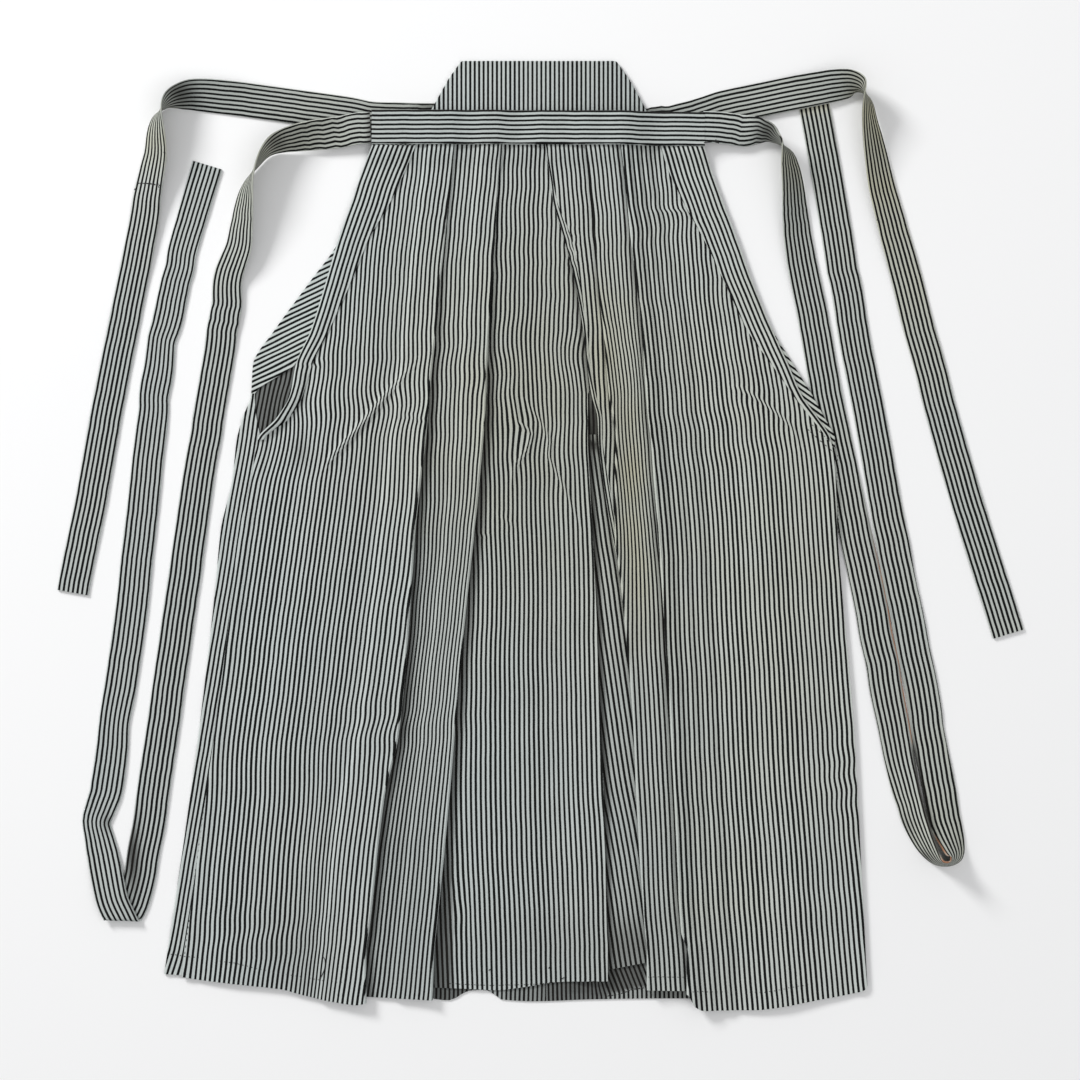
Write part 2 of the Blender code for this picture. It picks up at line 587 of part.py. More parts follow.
# ---------------------------------------------------------------- ties
def path_steps(rows):
    """Smooth places along a tie: (across, down, roll, lift) and the heading at each."""
    knots = [0.0]
    for before, after in zip(rows, rows[1:]):
        knots.append(knots[-1] + math.hypot(after[0] - before[0], after[1] - before[1]))
    slopes = []
    for place in range(len(rows)):
        low, high = max(place - 1, 0), min(place + 1, len(rows) - 1)
        span = knots[high] - knots[low]
        slopes.append([(b - a) / span for a, b in zip(rows[low], rows[high])])
    steps = []
    for place in range(len(rows) - 1):
        span = knots[place + 1] - knots[place]
        first, second = slopes[place], slopes[place + 1]
        bend = abs(math.remainder(math.atan2(second[1], second[0]) -
                                  math.atan2(first[1], first[0]), 2.0 * math.pi))
        roll = abs(rows[place + 1][2] - rows[place][2])
        count = math.ceil(max(span / TIE_STEP, roll / TIE_TURN, math.degrees(bend) / TIE_TURN))
        last = place == len(rows) - 2
        for step in range(count + 1 if last else count):
            t = step / count
            values = []
            rates = []
            for a, b, s0, s1 in zip(rows[place], rows[place + 1], first, second):
                values.append((2 * t**3 - 3 * t**2 + 1) * a + (3 * t**2 - 2 * t**3) * b
                              + (t**3 - 2 * t**2 + t) * span * s0 + (t**3 - t**2) * span * s1)
                rates.append((6 * t**2 - 6 * t) * (a - b) / span
                             + (3 * t**2 - 4 * t + 1) * s0 + (3 * t**2 - 2 * t) * s1)
            steps.append((values, math.atan2(-rates[1], rates[0])))
    return steps


def tie_stations(rows):
    """Centre, width direction and face direction along a tie that lies or stands on the table."""
    stations = []
    for values, heading in path_steps(rows):
        place = dict(zip(TIE_COLUMNS, values))
        roll = math.radians(place["roll"])
        ahead = Vector((math.cos(heading), math.sin(heading), 0.0))
        beside = Vector((-ahead.y, ahead.x, 0.0))
        width = beside * math.cos(roll) + Vector((0.0, 0.0, math.sin(roll)))
        height = max(place["lift"], 0.0)
        height += abs(math.cos(roll)) * TIE_THICK / 2 + abs(math.sin(roll)) * TIE_WIDTH / 2
        centre = world(place["across"], place["down"], height)
        stations.append((centre, width, ahead.cross(width)))
    return stations


def folded_back(before, after):
    """Stations of a tie that doubles back over itself, in place of the two that it joins.

    Both ends meet the fold line at a slant, so their sections are wider than the tie.
    """
    start, start_width, start_face = before
    end, end_width, end_face = after
    upward = Vector((0.0, 0.0, 1.0))
    fold = (start_width.cross(start_face) + end_width.cross(end_face)).normalized()
    outward = upward.cross(fold)
    radius = (end.z - start.z) / 2
    stations = []
    for step in range(FOLD_STEPS + 1):
        angle = math.pi * step / FOLD_STEPS
        share = step / FOLD_STEPS
        slant = (1.0 - share) / fold.dot(start_width) + share / fold.dot(end_width)
        ahead = outward * math.cos(angle) + upward * math.sin(angle)
        centre = start.lerp(end, share)
        centre.z = start.z + radius * (1.0 - math.cos(angle))
        centre += outward * radius * math.sin(angle)
        stations.append((centre, fold * slant, ahead.cross(fold)))
    return stations


def tie_solid(name, stations):
    sections = []
    for centre, width, face in stations:
        aside = width * TIE_WIDTH * MM / 2
        above = face * TIE_THICK * MM / 2
        sections.append(([centre + aside + above, centre - aside + above],
                         [centre + aside - above, centre - aside - above]))
    return cloth_solid(name, sections)


# ---------------------------------------------------------------- the garment
def build():
    for leftover in list(bpy.data.objects):
        bpy.data.objects.remove(leftover, do_unlink=True)

    rows = section_rows()
    back_rows = [dict(rows[1], down=BACK_TOP), *section_rows(rows[2]["down"])]
    facing_rows = [dict(rows[1], down=FACING_TOP)]
    facing_rows += [row for row in rows if FACING_TOP < row["down"] <= FACING_END]

    back_board()
    cloth_solid("back_panel_left", [wall_section(back_points(row, -1), row) for row in back_rows])
    cloth_solid("back_panel_right", [wall_section(back_points(row, 1), row) for row in back_rows])
    inner_rows = section_rows(INNER_TOP)
    cloth_solid("inner_leg", [wall_section(inner_leg_points(row), row) for row in inner_rows])

    left = [front_left_points(row) for row in rows]
    right = [front_right_points(row) for row in rows]
    cloth_solid("front_panel_left", [wall_section(*pair) for pair in zip(left, rows)])
    cloth_solid("front_panel_right", [wall_section(*pair) for pair in zip(right, rows)])
    front_facing("front_facing_left", facing_rows, "front_left", "facing_left", 1,
                 side_left_height)
    front_facing("front_facing_right", facing_rows, "front_right", "facing_right", -1,
                 side_right_height)
    front_band(left[:2], right[:2])

    out = tie_stations(FRONT_TIE_LEFT_OUT)
    back = tie_stations(FRONT_TIE_LEFT_BACK)
    tie_solid("front_tie_left", [*out[:-1], *folded_back(out[-1], back[0]), *back[1:]])
    tie_solid("front_tie_right", tie_stations(FRONT_TIE_RIGHT))
    tie_solid("back_tie_left", tie_stations(BACK_TIE_LEFT))
    tie_solid("back_tie_right", tie_stations(BACK_TIE_RIGHT))


build()
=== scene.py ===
"""Hakama trousers of finely striped cotton, laid flat with the front up and the ties spread out.

All sizes are in millimetres. "down" runs from the back board's top edge to the hem, and "across"
from the centre line to the right. "left" and "right" are as seen from above; where a side is
given as a number, -1 is the left and 1 the right. Cloth lies in layers: a piece with n layers
under it has its middle at half a wall plus n times LAYER.
"""

import bisect
import math

import bmesh
import bpy
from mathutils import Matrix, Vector, noise
from mathutils.bvhtree import BVHTree

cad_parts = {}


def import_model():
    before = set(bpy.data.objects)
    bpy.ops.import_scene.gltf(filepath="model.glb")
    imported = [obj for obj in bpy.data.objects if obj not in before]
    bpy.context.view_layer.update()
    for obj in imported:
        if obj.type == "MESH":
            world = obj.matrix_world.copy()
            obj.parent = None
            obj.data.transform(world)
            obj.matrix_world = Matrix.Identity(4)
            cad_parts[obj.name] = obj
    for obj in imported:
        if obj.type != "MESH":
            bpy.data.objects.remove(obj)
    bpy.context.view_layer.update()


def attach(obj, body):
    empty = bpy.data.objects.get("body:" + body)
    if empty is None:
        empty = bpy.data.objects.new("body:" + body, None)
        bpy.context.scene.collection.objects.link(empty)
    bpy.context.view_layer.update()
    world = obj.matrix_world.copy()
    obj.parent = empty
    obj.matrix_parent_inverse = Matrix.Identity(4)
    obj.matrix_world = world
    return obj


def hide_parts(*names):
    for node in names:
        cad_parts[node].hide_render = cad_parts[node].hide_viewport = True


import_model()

MM = 0.001
UP = Vector((0.0, 0.0, 1.0))
SIDES = {-1: "left", 1: "right"}
LENGTH = 1005.0
CENTRE_SHIFT = 0.65
WALL = 1.2
LAYER = 1.5
CLOTH = 0.9                 # thickness of the cloth as it shows
STRIPE = 4.7                # one dark and one pale stripe
SHARP = math.radians(50.0)  # edges sharper than this stay sharp

BOARD_RISE = 3.8
BOARD_RISE_ROWS = (117.0, 92.0)
STRAP_LIFT = 2.6
STRAP_ROWS = ((285, 0.0), (322, 1.0), (497, 1.0), (560, 0.0))
STRAP_REACH = (110.0, 25.0)
BACK_TOP = 84.0
BACK_SEAM = 5.0
FACING_TOP = 89.6
FACING_END = 401.0
FACING_STEP = 3.5
FACING_LIFT = 1.4
FACING_DIPS = ((0.7, 2.5), (0.35, 2.0))     # outer and inner edge: how far down, over what width
LAP_WIDTH = 18.0
LAP_PARTS = (0.4, 0.8)      # the turned-in edge ends between these parts of its width
BAND_TOP = 52.0
BAND_BOTTOM = 88.5
BAND_LEFT = -179.5
BAND_RIGHT = 172.5
BAND_THICK = 2.4
BAND_LINE = ((-180, 70.6), (-30, 70.9), (60, 71.7), (104, 72.5), (147, 72.8), (173, 73.2))
TIE_WIDTH = 33.5
TIE_THICK = 2.2

PUFF_ROWS = (110.0, 420.0)
PUFF_LEFT = 4.5
PUFF_RIGHT = 3.6
PUFF_RIGHT_REACH = 30.0
PUFF_R1 = (8.0, 2.0)        # reach and height
PUFF_R1_ROWS = (444, 378)
PUFF_R2 = (20.0, 2.5)
BILLOW = 2.0
RELIEF = 1.6
RELIEF_START = 15.0         # the relief starts this far from a fold
LIP = 3.0
LIP_ROWS = ((322, 370), (410, 385))

COLUMNS = (
    "back_left", "turned_left", "front_left", "facing_left", "fold_l1", "fold_l2", "middle",
    "fold_r1", "fold_r2", "fold_r3", "facing_right", "front_right", "turned_right", "back_right",
)
SECTIONS = (
    (56, -166, -155, -167, 48, -90, -42, 88, -2, 45, 81, 48, 160, 148, 159),
    (92, -179, -168, -180, 46, -92, -43, 88, 4, 47, 84, 46, 172, 160, 171),
    (117, -189, -178, -190, 45, -95, -45, 92, 8, 50, 87, 45, 180, 169, 179),
    (147, -199, -189, -200, 41, -98, -47, 96, 12, 53, 90, 42, 191, 180, 190),
    (189, -214, -206, -215, 32, -102, -49, 101, 24, 56, 94, 35, 207, 198, 206),
    (237, -248, -221, -229, 26, -107, -52, 108, 36, 59, 100, 29, 224, 217, 223),
    (285, -283, -239, -244, 19, -111, -55, 114, 44, 65, 106, 26, 244, 237, 245),
    (322, -306, -262, -260, 17, -115, -57, 80, 48, 68, 108, 17, 261, 257, 267),
    (354, -308, -304, -266, 13, -118, -58, 49, 53, 71, 110, 9, 275, 271, 287),
    (378, -317, -302, -280, 13, -120, -59, 49, 59, 75, 112, 7, 292, 288, 300),
    (401, -323, -298, -301, 7, -122, -61, 49, 60, 78, 115, 5, 306, 302, 311),
    (444, -328, -303, -307, 18, -127, -65, 51, 65, 77, 118, 18, 311, 306, 310),
    (497, -340, -316, -320, 18, -133, -70, 54, 73.5, 77, 122, 18, 313, 308, 312),
    (560, -346, -323, -327, 18, -137, -77, 57, 85.5, 84, 127, 18, 318, 313, 317),
    (709, -363, -342, -346, 18, -150, -91, 63, 101, 97, 136, 18, 331, 326, 330),
    (783, -373, -352, -356, 18, -166, -97, 66, 104, 100, 140, 18, 335, 330, 334),
    (921, -393, -371, -375, 18, -182, -111, 69, 113, 109, 147, 18, 342, 337, 341),
    (940, -396, -374, -378, 18, -185, -113, 70, 115, 111, 153, 18, 343, 338, 342),
    (968, -400, -377, -381, 18, -185, -115, 70, 115, 111, 153, 18, 345, 340, 344),
)
HEM_ROW = 940.0             # below this the rows spread out to each hem
LAST_ROW = 968.0
ROW_STEP = 4.2
BACK_STEP = 5.0
BACK_HEM_STEP = 1.5

TUCK_L1 = (22.0, 46.0)
TUCK_L2 = (16.0, 36.0)
RAMP_LEFT = (8.0, 2.0)
UNDER_END = 8.0
TUCK_R2 = 24.0
TUCK_R3 = 40.0
DROPS = ((10.0, 18.0), (26.0, 34.0), (42.0, 54.0))
WAIST_SHRINK = 0.6
SHRINK_ROWS = (117.0, 300.0)
INNER_TOP = 395.5
INNER_ROWS = (378.0, 401.0)
INNER_UNDER = 25.0
INNER_RAMP = (37.0, 28.0)
FOLD_GAP = 0.4              # the open cloth stops this short of a left fold
FOLD_START = 0.3            # and starts this far past a right one

# (across, down) along each lower edge; the last is the seam across the back below the inner leg
HEMS = {
    "side_left": (
        (-400, 968), (-381, 970), (-362, 973), (-310, 979), (-275, 983), (-253, 989), (-220, 996),
        (-195, 999), (-186, 997)),
    "pleat_left": ((-240, 988), (-186, 991), (-116, 994)),
    "middle": ((-160, 980), (-92, 982), (-48, 984), (-28, 982), (23, 975), (70, 974)),
    "inner": ((45, 965), (72, 962), (111, 955), (160, 950)),
    "under_right": ((60, 968), (200, 976)),
    "pleat_right": ((60, 976), (111, 983), (154, 984), (200, 982)),
    "side_right": (
        (150, 985), (155, 988), (162, 1000), (172, 1005), (223, 1005), (252, 1002), (289, 995),
        (327, 988), (342, 984), (345, 979)),
    "back": (
        (-400, 967), (-310, 974), (-220, 985), (-118, 993), (-99, 995), (-88, 991), (-79, 985),
        (-60, 984), (-52, 987), (-43, 994), (-8, 996), (52, 994), (125, 993), (154, 993),
        (223, 994), (289, 986), (345, 974)),
    "leg_seam": ((70, 990), (96, 984), (112, 981)),
}

# how the stripes run down each part: sideways per 100 downwards, to the right where positive
PARTS = ("side_left", "strip_left", "middle", "inner", "pleat_r1", "pleat_r2", "side_right")
COURSES = (
    (56, -9, -5, -1, 8, 5, 10, 6), (100, -9, -5, -1, 8, 5, 10, 6),
    (125, -13, -10, -2, 8, 11, 12, 9), (145, -13, -9, -4, 8, 10, 10, 15),
    (165, -12, -7, -3, 8, 7, 9, 19), (185, -13, -7, 2, 8, 8, 4, 4),
    (206, -10, -7, -3, 8, 11, 4, 9), (227, -5, -6, 0, 8, 9, 6, 10), (249, -7, -4, -3, 8, 6, 9, 12),
    (270, -4, -5, -6, 8, 5, 9, 10), (291, -3, -4, -4, 8, 4, 14, 10),
    (312, -9, -5, -2, 8, 2, 8, 11), (333, -8, -8, 4, 8, 2, 14, 9), (355, 0, -3, 3, 8, 7, 6, 12),
    (376, -12, 2, 5, 10, 9, 6, 12), (397, -12, -5, 1, 8, 2, 8, 15), (418, -5, -9, 5, 9, 1, 11, 14),
    (439, -5, -3, 5, 13, 1, 9, 8), (465, -9, -6, 5, 12, 4, 8, 7), (500, -13, -10, 4, 13, 5, 6, 6),
    (545, -14, -10, 2, 14, 5, 4, 5), (590, -15, -10, 1, 14, 5, 4, 5),
    (630, -11, -9, 1, 15, 4, 4, 5), (655, -15, -12, 2, 14, 4, 6, 4),
    (700, -15, -8, 2, 14, 4, 5, 4), (722, -16, -10, 2, 15, 4, 5, 3),
    (740, -4, -10, 2, 16, 4, 5, 4), (775, -11, -11, 3, 16, 4, 5, 7),
    (820, -12, -10, 4, 16, 3, 3, 7), (860, -12, -10, 2, 16, 4, 5, 6),
    (900, -10, -11, 5, 17, 9, 9, 5), (940, -11, -10, 6, 17, 8, 8, 9),
    (970, -13, -12, 2, 17, 6, 6, 10), (1010, -13, -12, 2, 17, 6, 6, 10),
)
# the stripes' repeat, measured across each part
PITCHES = (
    (56, 4.7, 4.7, 4.75, 4.8, 4.7, 4.7, 4.7), (230, 4.6, 4.7, 4.8, 4.8, 4.7, 4.5, 4.7),
    (290, 4.6, 4.7, 4.8, 4.8, 4.7, 3.8, 4.8), (340, 4.7, 4.7, 4.7, 4.8, 4.8, 3.5, 4.9),
    (400, 4.6, 4.6, 4.7, 4.8, 4.7, 3.8, 5.0), (450, 4.9, 4.3, 4.75, 5.0, 4.4, 3.6, 5.0),
    (500, 5.0, 4.0, 4.85, 5.0, 4.4, 3.7, 5.0), (560, 5.05, 3.8, 4.9, 5.1, 4.4, 4.4, 5.05),
    (620, 5.05, 3.75, 5.0, 5.2, 4.4, 4.8, 5.1), (700, 5.1, 4.0, 5.1, 5.2, 4.4, 4.95, 5.2),
    (780, 5.1, 4.4, 5.2, 5.25, 4.5, 4.95, 5.25), (860, 5.15, 4.7, 5.2, 5.3, 4.8, 5.1, 5.35),
    (1010, 5.2, 5.0, 5.25, 5.4, 5.3, 5.2, 5.45),
)
# where each part's middle stripe starts at the top
STRIPE_STARTS = {"side_left": -125, "strip_left": -67, "middle": 20, "inner": 0, "pleat_r1": 25,
                 "pleat_r2": 65, "side_right": 120}

# stripes taken up by the soft fold low in the left side panel: (down, number)
TURNED_AWAY = ((620, 0.0), (700, 0.5), (780, 1.1), (860, 1.8), (940, 2.2), (1010, 2.4))
TURNED_EDGES = (-208, -262)     # across, at TURNED_DOWN
TURNED_DOWN = 900.0
TURNED_LEAN = 0.05
# creases: (across, down) along each, then height, half width and how far it pushes the stripes
CREASES = (
    (((-138, 324), (-163, 352), (-195, 390), (-218, 415), (-230, 432)), 3.6, 4.8, 2.1),
    (((204, 346), (216, 350), (233, 361), (249, 373), (265, 388), (273, 405)), 2.6, 4.6, 1.5),
    (((-34, 338), (-25, 383), (-9, 393), (-15, 411), (-28, 429), (-33, 451)), 2.2, 4.4, 1.3),
    (((-15, 362), (0, 383), (9, 402), (7, 418), (24, 451), (40, 491)), 2.4, 4.4, 1.4),
    (((-45, 481), (-28, 494)), 1.4, 6.0, 0.5), (((-69, 501), (-56, 502)), 1.6, 3.0, 0.5),
    (((-264, 320), (-246, 322), (-228, 318)), 1.6, 3.5, 1.0),
    (((-155, 373), (-136, 377), (-116, 384)), 1.2, 4.0, 0.6),
    (((112, 160), (150, 158), (176, 172)), 1.2, 6.0, 1.0),
)
CREASE_END = 4.0            # a crease's push ends this many half widths from it
CREASE_PEAK = 0.6           # and is strongest at this many
# places where the stripes bulge: middle (across, down), reach (across, down), shift to the right
BULGES = (
    (-12, 391, 20, 32, 5.0), (36, 312, 20, 22, -3.4), (24, 352, 18, 24, 2.4),
    (-60, 345, 14, 26, 1.8), (-190, 362, 40, 20, 1.8), (-250, 372, 20, 26, -2.0),
    (60, 205, 10, 20, 0.8), (96, 330, 10, 24, 2.0), (-128, 470, 20, 40, -1.2),
    (-396, 975, 16, 26, -5.0), (-96, 868, 10, 40, -1.0), (-84, 905, 8, 16, 1.4),
)
# wavy patches: middle (across, down), reach (across, down), sideways swing and its length down
WAVES = (
    (-225, 345, 60, 46, 3.0, 58), (-150, 350, 50, 50, 2.0, 52), (-120, 590, 60, 150, 0.8, 70),
    (-90, 330, 45, 60, 1.2, 45), (-38, 330, 16, 50, 2.4, 66), (-30, 230, 40, 90, 0.8, 44),
    (5, 400, 40, 60, 1.6, 62), (140, 170, 50, 26, 2.2, 46), (200, 240, 50, 60, 0.9, 48),
    (190, 395, 70, 40, 1.3, 50), (60, 190, 16, 40, 0.7, 34), (32, 200, 7, 26, 1.8, 17),
    (-160, 705, 60, 30, 2.0, 44), (320, 760, 24, 40, 1.6, 34), (-300, 930, 60, 30, 1.4, 40),
)
WAVE_LEAN = 0.25
PATCH_END = 2.6             # a patch ends this many times its reach from its middle
# yellowed places: middle (across, down), reach (across, down), strength
STAINS = (
    (64, 290, 14, 70, 0.2), (78, 275, 26, 95, 0.1), (94, 440, 18, 95, 0.36),
    (102, 545, 16, 70, 0.26), (180, 880, 60, 80, 0.12), (-30, 360, 125, 190, 0.3),
    (235, 480, 150, 420, 0.2),
)
# painted shade in patches, for the folds round them and for darker areas: the same four sizes,
# strength
PAINTED_SHADE_PATCHES = (
    (-5, 350, 115, 230, 0.11), (35, 620, 75, 330, 0.07), (40, 940, 110, 55, 0.16),
    (95, 820, 45, 160, 0.06), (-155, 810, 30, 200, 0.1), (-262, 950, 45, 60, 0.16),
    (-254, 414, 9, 18, 0.28), (-253, 357, 4, 9, 0.35),
)
# uneven drift of the stripes and of the cloth's height: reach (across, down), seed, size
STRIPE_DRIFT = ((130, 95, 3.1, 1.7),)
LIVELY_DRIFT = ((60, 24, 7.7, 0.85), (22, 10, 2.7, 0.3))
LIVELY_ROWS = (470, 330)
LIVELY_LEAST = 0.35
RISES = ((42, 170, 1.3, 0.7), (150, 44, 5.9, 0.55), (24, 30, 9.2, 0.3))
RISE_MIDDLE = 0.5


# ---------- helpers
def straight(value, start, end):
    """0 before start and 1 past end, in a straight line between."""
    return min(1.0, max(0.0, (value - start) / (end - start)))


def ramp(value, start, end):
    """0 before start and 1 past end, easing in and out."""
    share = straight(value, start, end)
    return share * share * (3.0 - 2.0 * share)


def within(value, *ranges):
    """The ramps over all the (start, end) ranges, multiplied: 1 where none of them holds back."""
    return math.prod(ramp(value, *ends) for ends in ranges)


def lookup(table, value):
    """A table's value at a place, in a straight line between its rows."""
    spot = min(max(bisect.bisect([row[0] for row in table], value), 1), len(table) - 1)
    (low, low_size), (high, high_size) = table[spot - 1:spot + 1]
    return low_size + (high_size - low_size) * straight(value, low, high)


def curve(t, span, start, end, slope, end_slope):
    """A smooth curve between two places that are span apart, t running from 0 to 1."""
    return ((2 * t**3 - 3 * t**2 + 1) * start + (3 * t**2 - 2 * t**3) * end
            + ((t**3 - 2 * t**2 + t) * slope + (t**3 - t**2) * end_slope) * span)


def curve_slope(t, span, start, end, slope, end_slope):
    return ((6 * t**2 - 6 * t) * (start - end) / span
            + (3 * t**2 - 4 * t + 1) * slope + (3 * t**2 - 2 * t) * end_slope)


def smooth_line(places, sizes):
    """A smooth line through a table's values that never swings past them."""
    steps = [(s1 - s0) / (p1 - p0)
             for p0, p1, s0, s1 in zip(places, places[1:], sizes, sizes[1:])]
    slopes = [steps[0]]
    for before, after in zip(steps, steps[1:]):
        slopes.append(0.0 if before * after <= 0 else 2 * before * after / (before + after))
    slopes.append(steps[-1])

    def at(place):
        spot = min(max(bisect.bisect(places, place), 1), len(places) - 1) - 1
        start, end = places[spot:spot + 2]
        return curve(straight(place, start, end), end - start, *sizes[spot:spot + 2],
                     *slopes[spot:spot + 2])

    return at


def smooth_columns(table, names):
    """A smooth line down each of a table's columns after the first."""
    places, *columns = zip(*table)
    return {name: smooth_line(places, column) for name, column in zip(names, columns)}


def courses_aside():
    """How far aside each part's stripes have run at each row of COURSES."""
    rows = [(COURSES[0][0], *[0.0] * len(PARTS))]
    for above, below in zip(COURSES, COURSES[1:]):
        fall = (below[0] - above[0]) / 200
        rows.append((below[0], *(aside + fall * (a + b)
                                 for aside, a, b in zip(rows[-1][1:], above[1:], below[1:]))))
    return rows


LINES = smooth_columns(SECTIONS, COLUMNS)
COURSE_LINES = smooth_columns(courses_aside(), PARTS)
PITCH_LINES = smooth_columns(PITCHES, PARTS)
HEM_LINES = {name: smooth_line(*zip(*places)) for name, places in HEMS.items()}


def section(down):
    return {"down": down, **{name: line(down) for name, line in LINES.items()}}


def section_rows(first, last=LAST_ROW, step=ROW_STEP):
    count = math.ceil((last - first) / step)
    return [section(first + (last - first) * place / count) for place in range(count + 1)]


def stripe_place(part, across, down):
    """Place in the stripes' repeat, in mm, at a point of one part."""
    off = across - STRIPE_STARTS[part] - COURSE_LINES[part](down)
    place = off * STRIPE / PITCH_LINES[part](down)
    if part == "side_left":
        lean = TURNED_LEAN * (down - TURNED_DOWN)
        place -= lookup(TURNED_AWAY, down) * STRIPE * ramp(across, *(edge - lean
                                                                     for edge in TURNED_EDGES))
    return place


def world(across, down, height):
    return Vector((across + CENTRE_SHIFT, LENGTH / 2 - down, height)) * MM


def spread(start, end, count):
    """Places from start to end, both included."""
    return [start + (end - start) * place / (count - 1) for place in range(count)]


def uneven(table, across, down):
    """Smooth, uneven drift about nothing: the sum of a table's (reach, reach, seed, size)."""
    return sum(size * noise.noise(Vector((across / wide, down / long, seed)))
               for wide, long, seed, size in table)


def hump(across, down, patch):
    """1 in the middle of an oval patch, easing to nothing."""
    return math.exp(-((across - patch[0]) / patch[2]) ** 2 - ((down - patch[1]) / patch[3]) ** 2)


def near(across, down, patch, reaches=PATCH_END):
    return (abs(down - patch[1]) < reaches * patch[3]
            and abs(across - patch[0]) < reaches * patch[2])


def patches(table, across, down):
    return min(1.0, sum(patch[4] * hump(across, down, patch) for patch in table))


def near_creases(across, down):
    """For each crease near a point: distance to its right, fading to its ends, and its sizes."""
    found = []
    for points, height, reach, push in CREASES:
        end = CREASE_END * reach
        if not points[0][1] - end < down < points[-1][1] + end:
            continue
        spots = []
        for place, ((x0, y0), (x1, y1)) in enumerate(zip(points, points[1:])):
            run, fall = x1 - x0, y1 - y0
            share = straight((across - x0) * run + (down - y0) * fall, 0.0, run**2 + fall**2)
            right, below = across - x0 - share * run, down - y0 - share * fall
            side = 1.0 if right * fall - below * run >= 0 else -1.0
            spots.append((math.hypot(right, below), side, (place + share) / (len(points) - 1)))
        aside, side, along = min(spots, key=lambda spot: spot[0])
        if aside < end:
            ends = math.sqrt(math.sin(math.pi * min(0.99, max(0.01, along))))
            found.append((aside * side, ends, height, reach, push))
    return found


def creases(across, down):
    return sum(height * ends * (1.0 - ramp(abs(aside), 0.0, reach))
               for aside, ends, height, reach, _ in near_creases(across, down))


def swing(across, down):
    """How far the stripes wander sideways."""
    lively = LIVELY_LEAST + (1.0 - LIVELY_LEAST) * ramp(down, *LIVELY_ROWS)
    wander = uneven(STRIPE_DRIFT, across, down) + lively * uneven(LIVELY_DRIFT, across, down)
    for patch in WAVES:
        if near(across, down, patch):
            turns = (down - patch[1] + WAVE_LEAN * across) / patch[5]
            wander += patch[4] / 2 * hump(across, down, patch) * math.sin(2 * math.pi * turns)
    for patch in BULGES:
        if near(across, down, patch):
            wander -= patch[4] * hump(across, down, patch)
    for aside, ends, _, reach, push in near_creases(across, down):
        share = aside / (CREASE_PEAK * reach)
        fade = (1.0 - (aside / (CREASE_END * reach)) ** 2) ** 2
        wander += push * ends * fade * 2.0 * share / (1.0 + share * share)
    return wander


def relief(across, down):
    """Soft rise and fall of cloth that isn't pressed, never below 0."""
    rise = RISE_MIDDLE + uneven(RISES, across, down)
    return RELIEF * max(0.0, rise) * ramp(down, *PUFF_ROWS)


def base_height(row, across):
    lift = STRAP_LIFT * lookup(STRAP_ROWS, row["down"])
    edge = row["back_right"]
    return WALL / 2 + lift * straight(across, *(edge - reach for reach in STRAP_REACH))


def front_height(row, across, layers):
    rise = BOARD_RISE * ramp(row["down"], *BOARD_RISE_ROWS)
    return base_height(row, across) + rise + LAYER * layers


def puff(distance, row, reach, height):
    size = height * ramp(row["down"], *PUFF_ROWS)
    return size * (1.0 - straight(distance, 0.0, reach)) ** 2


def shade_beside(distance, reach, depth):
    """Darker next to a fold that stands over the cloth."""
    return depth * (1.0 - straight(distance, 0.0, reach))


def turn(fold, side, z_from, z_to, steps=5):
    """(across, height) round a fold whose outer face reaches `fold` on that side."""
    out = min(abs(z_to - z_from) / 2, LAYER)
    centre = (z_from + z_to) / 2
    angles = [math.pi * step / steps for step in range(steps + 1)]
    return [(fold - side * (WALL / 2 + out * (1.0 - math.sin(angle))),
             centre + (z_from - centre) * math.cos(angle)) for angle in angles]


# ---------- making meshes
def new_object(name, data):
    made = bpy.data.objects.new(name, data)
    bpy.context.scene.collection.objects.link(made)
    return made


def grid_object(name, rows, closed=False):
    """A sheet through rows of points: (place, u, v, stain, shade, bare edge), u and v in mm."""
    columns = len(rows[0])
    width = columns - 1 if closed else columns
    mesh = bpy.data.meshes.new(name)
    cells = [((row, place), (row + 1, place), (row + 1, place + 1), (row, place + 1))
             for row in range(len(rows) - 1) for place in range(columns - 1)]
    if closed:
        cells.append([(0, place) for place in range(width)])
        cells.append([(len(rows) - 1, place) for place in reversed(range(width))])
    mesh.from_pydata([point[0] for row in rows for point in row[:width]], [],
                     [[row * width + place % width for row, place in cell] for cell in cells])
    uv = mesh.uv_layers.new(name="cloth")
    for spot, (row, place) in enumerate(corner for cell in cells for corner in cell):
        uv.data[spot].uv = [size * MM for size in rows[row][place][1:3]]
    for column, title in enumerate(("stain", "shade", "raw_edge"), 3):
        layer = mesh.attributes.new(title, "FLOAT", "POINT")
        layer.data.foreach_set("value", [point[column] if column < len(point) else 0.0
                                         for row in rows for point in row[:width]])
    mesh.shade_smooth()
    return new_object(name, mesh)


def apply_all(piece):
    bpy.ops.object.select_all(action="DESELECT")
    piece.select_set(True)
    bpy.context.view_layer.objects.active = piece
    for modifier in list(piece.modifiers):
        bpy.ops.object.modifier_apply(modifier=modifier.name)


def give_thickness(piece):
    solid = piece.modifiers.new("thickness", "SOLIDIFY")
    solid.thickness = CLOTH * MM
    solid.offset = 0.0
    apply_all(piece)


CLOTH_PIECES = []


def cover(piece, node, material):
    """The piece shows in place of one solid."""
    piece.data.materials.append(material)
    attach(piece, "root")
    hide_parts(node)


def dress(piece, node, material):
    piece.data.set_sharp_from_angle(angle=SHARP)
    CLOTH_PIECES.append(piece)
    cover(piece, node, material)


# ---------- cloth panels
def hem_down(down, across, hem):
    """Rows below HEM_ROW spread out so that the last one is the hem."""
    if down <= HEM_ROW:
        return down
    share = (down - HEM_ROW) / (LAST_ROW - HEM_ROW)
    return HEM_ROW + (HEM_LINES[hem](across) - HEM_ROW) * share


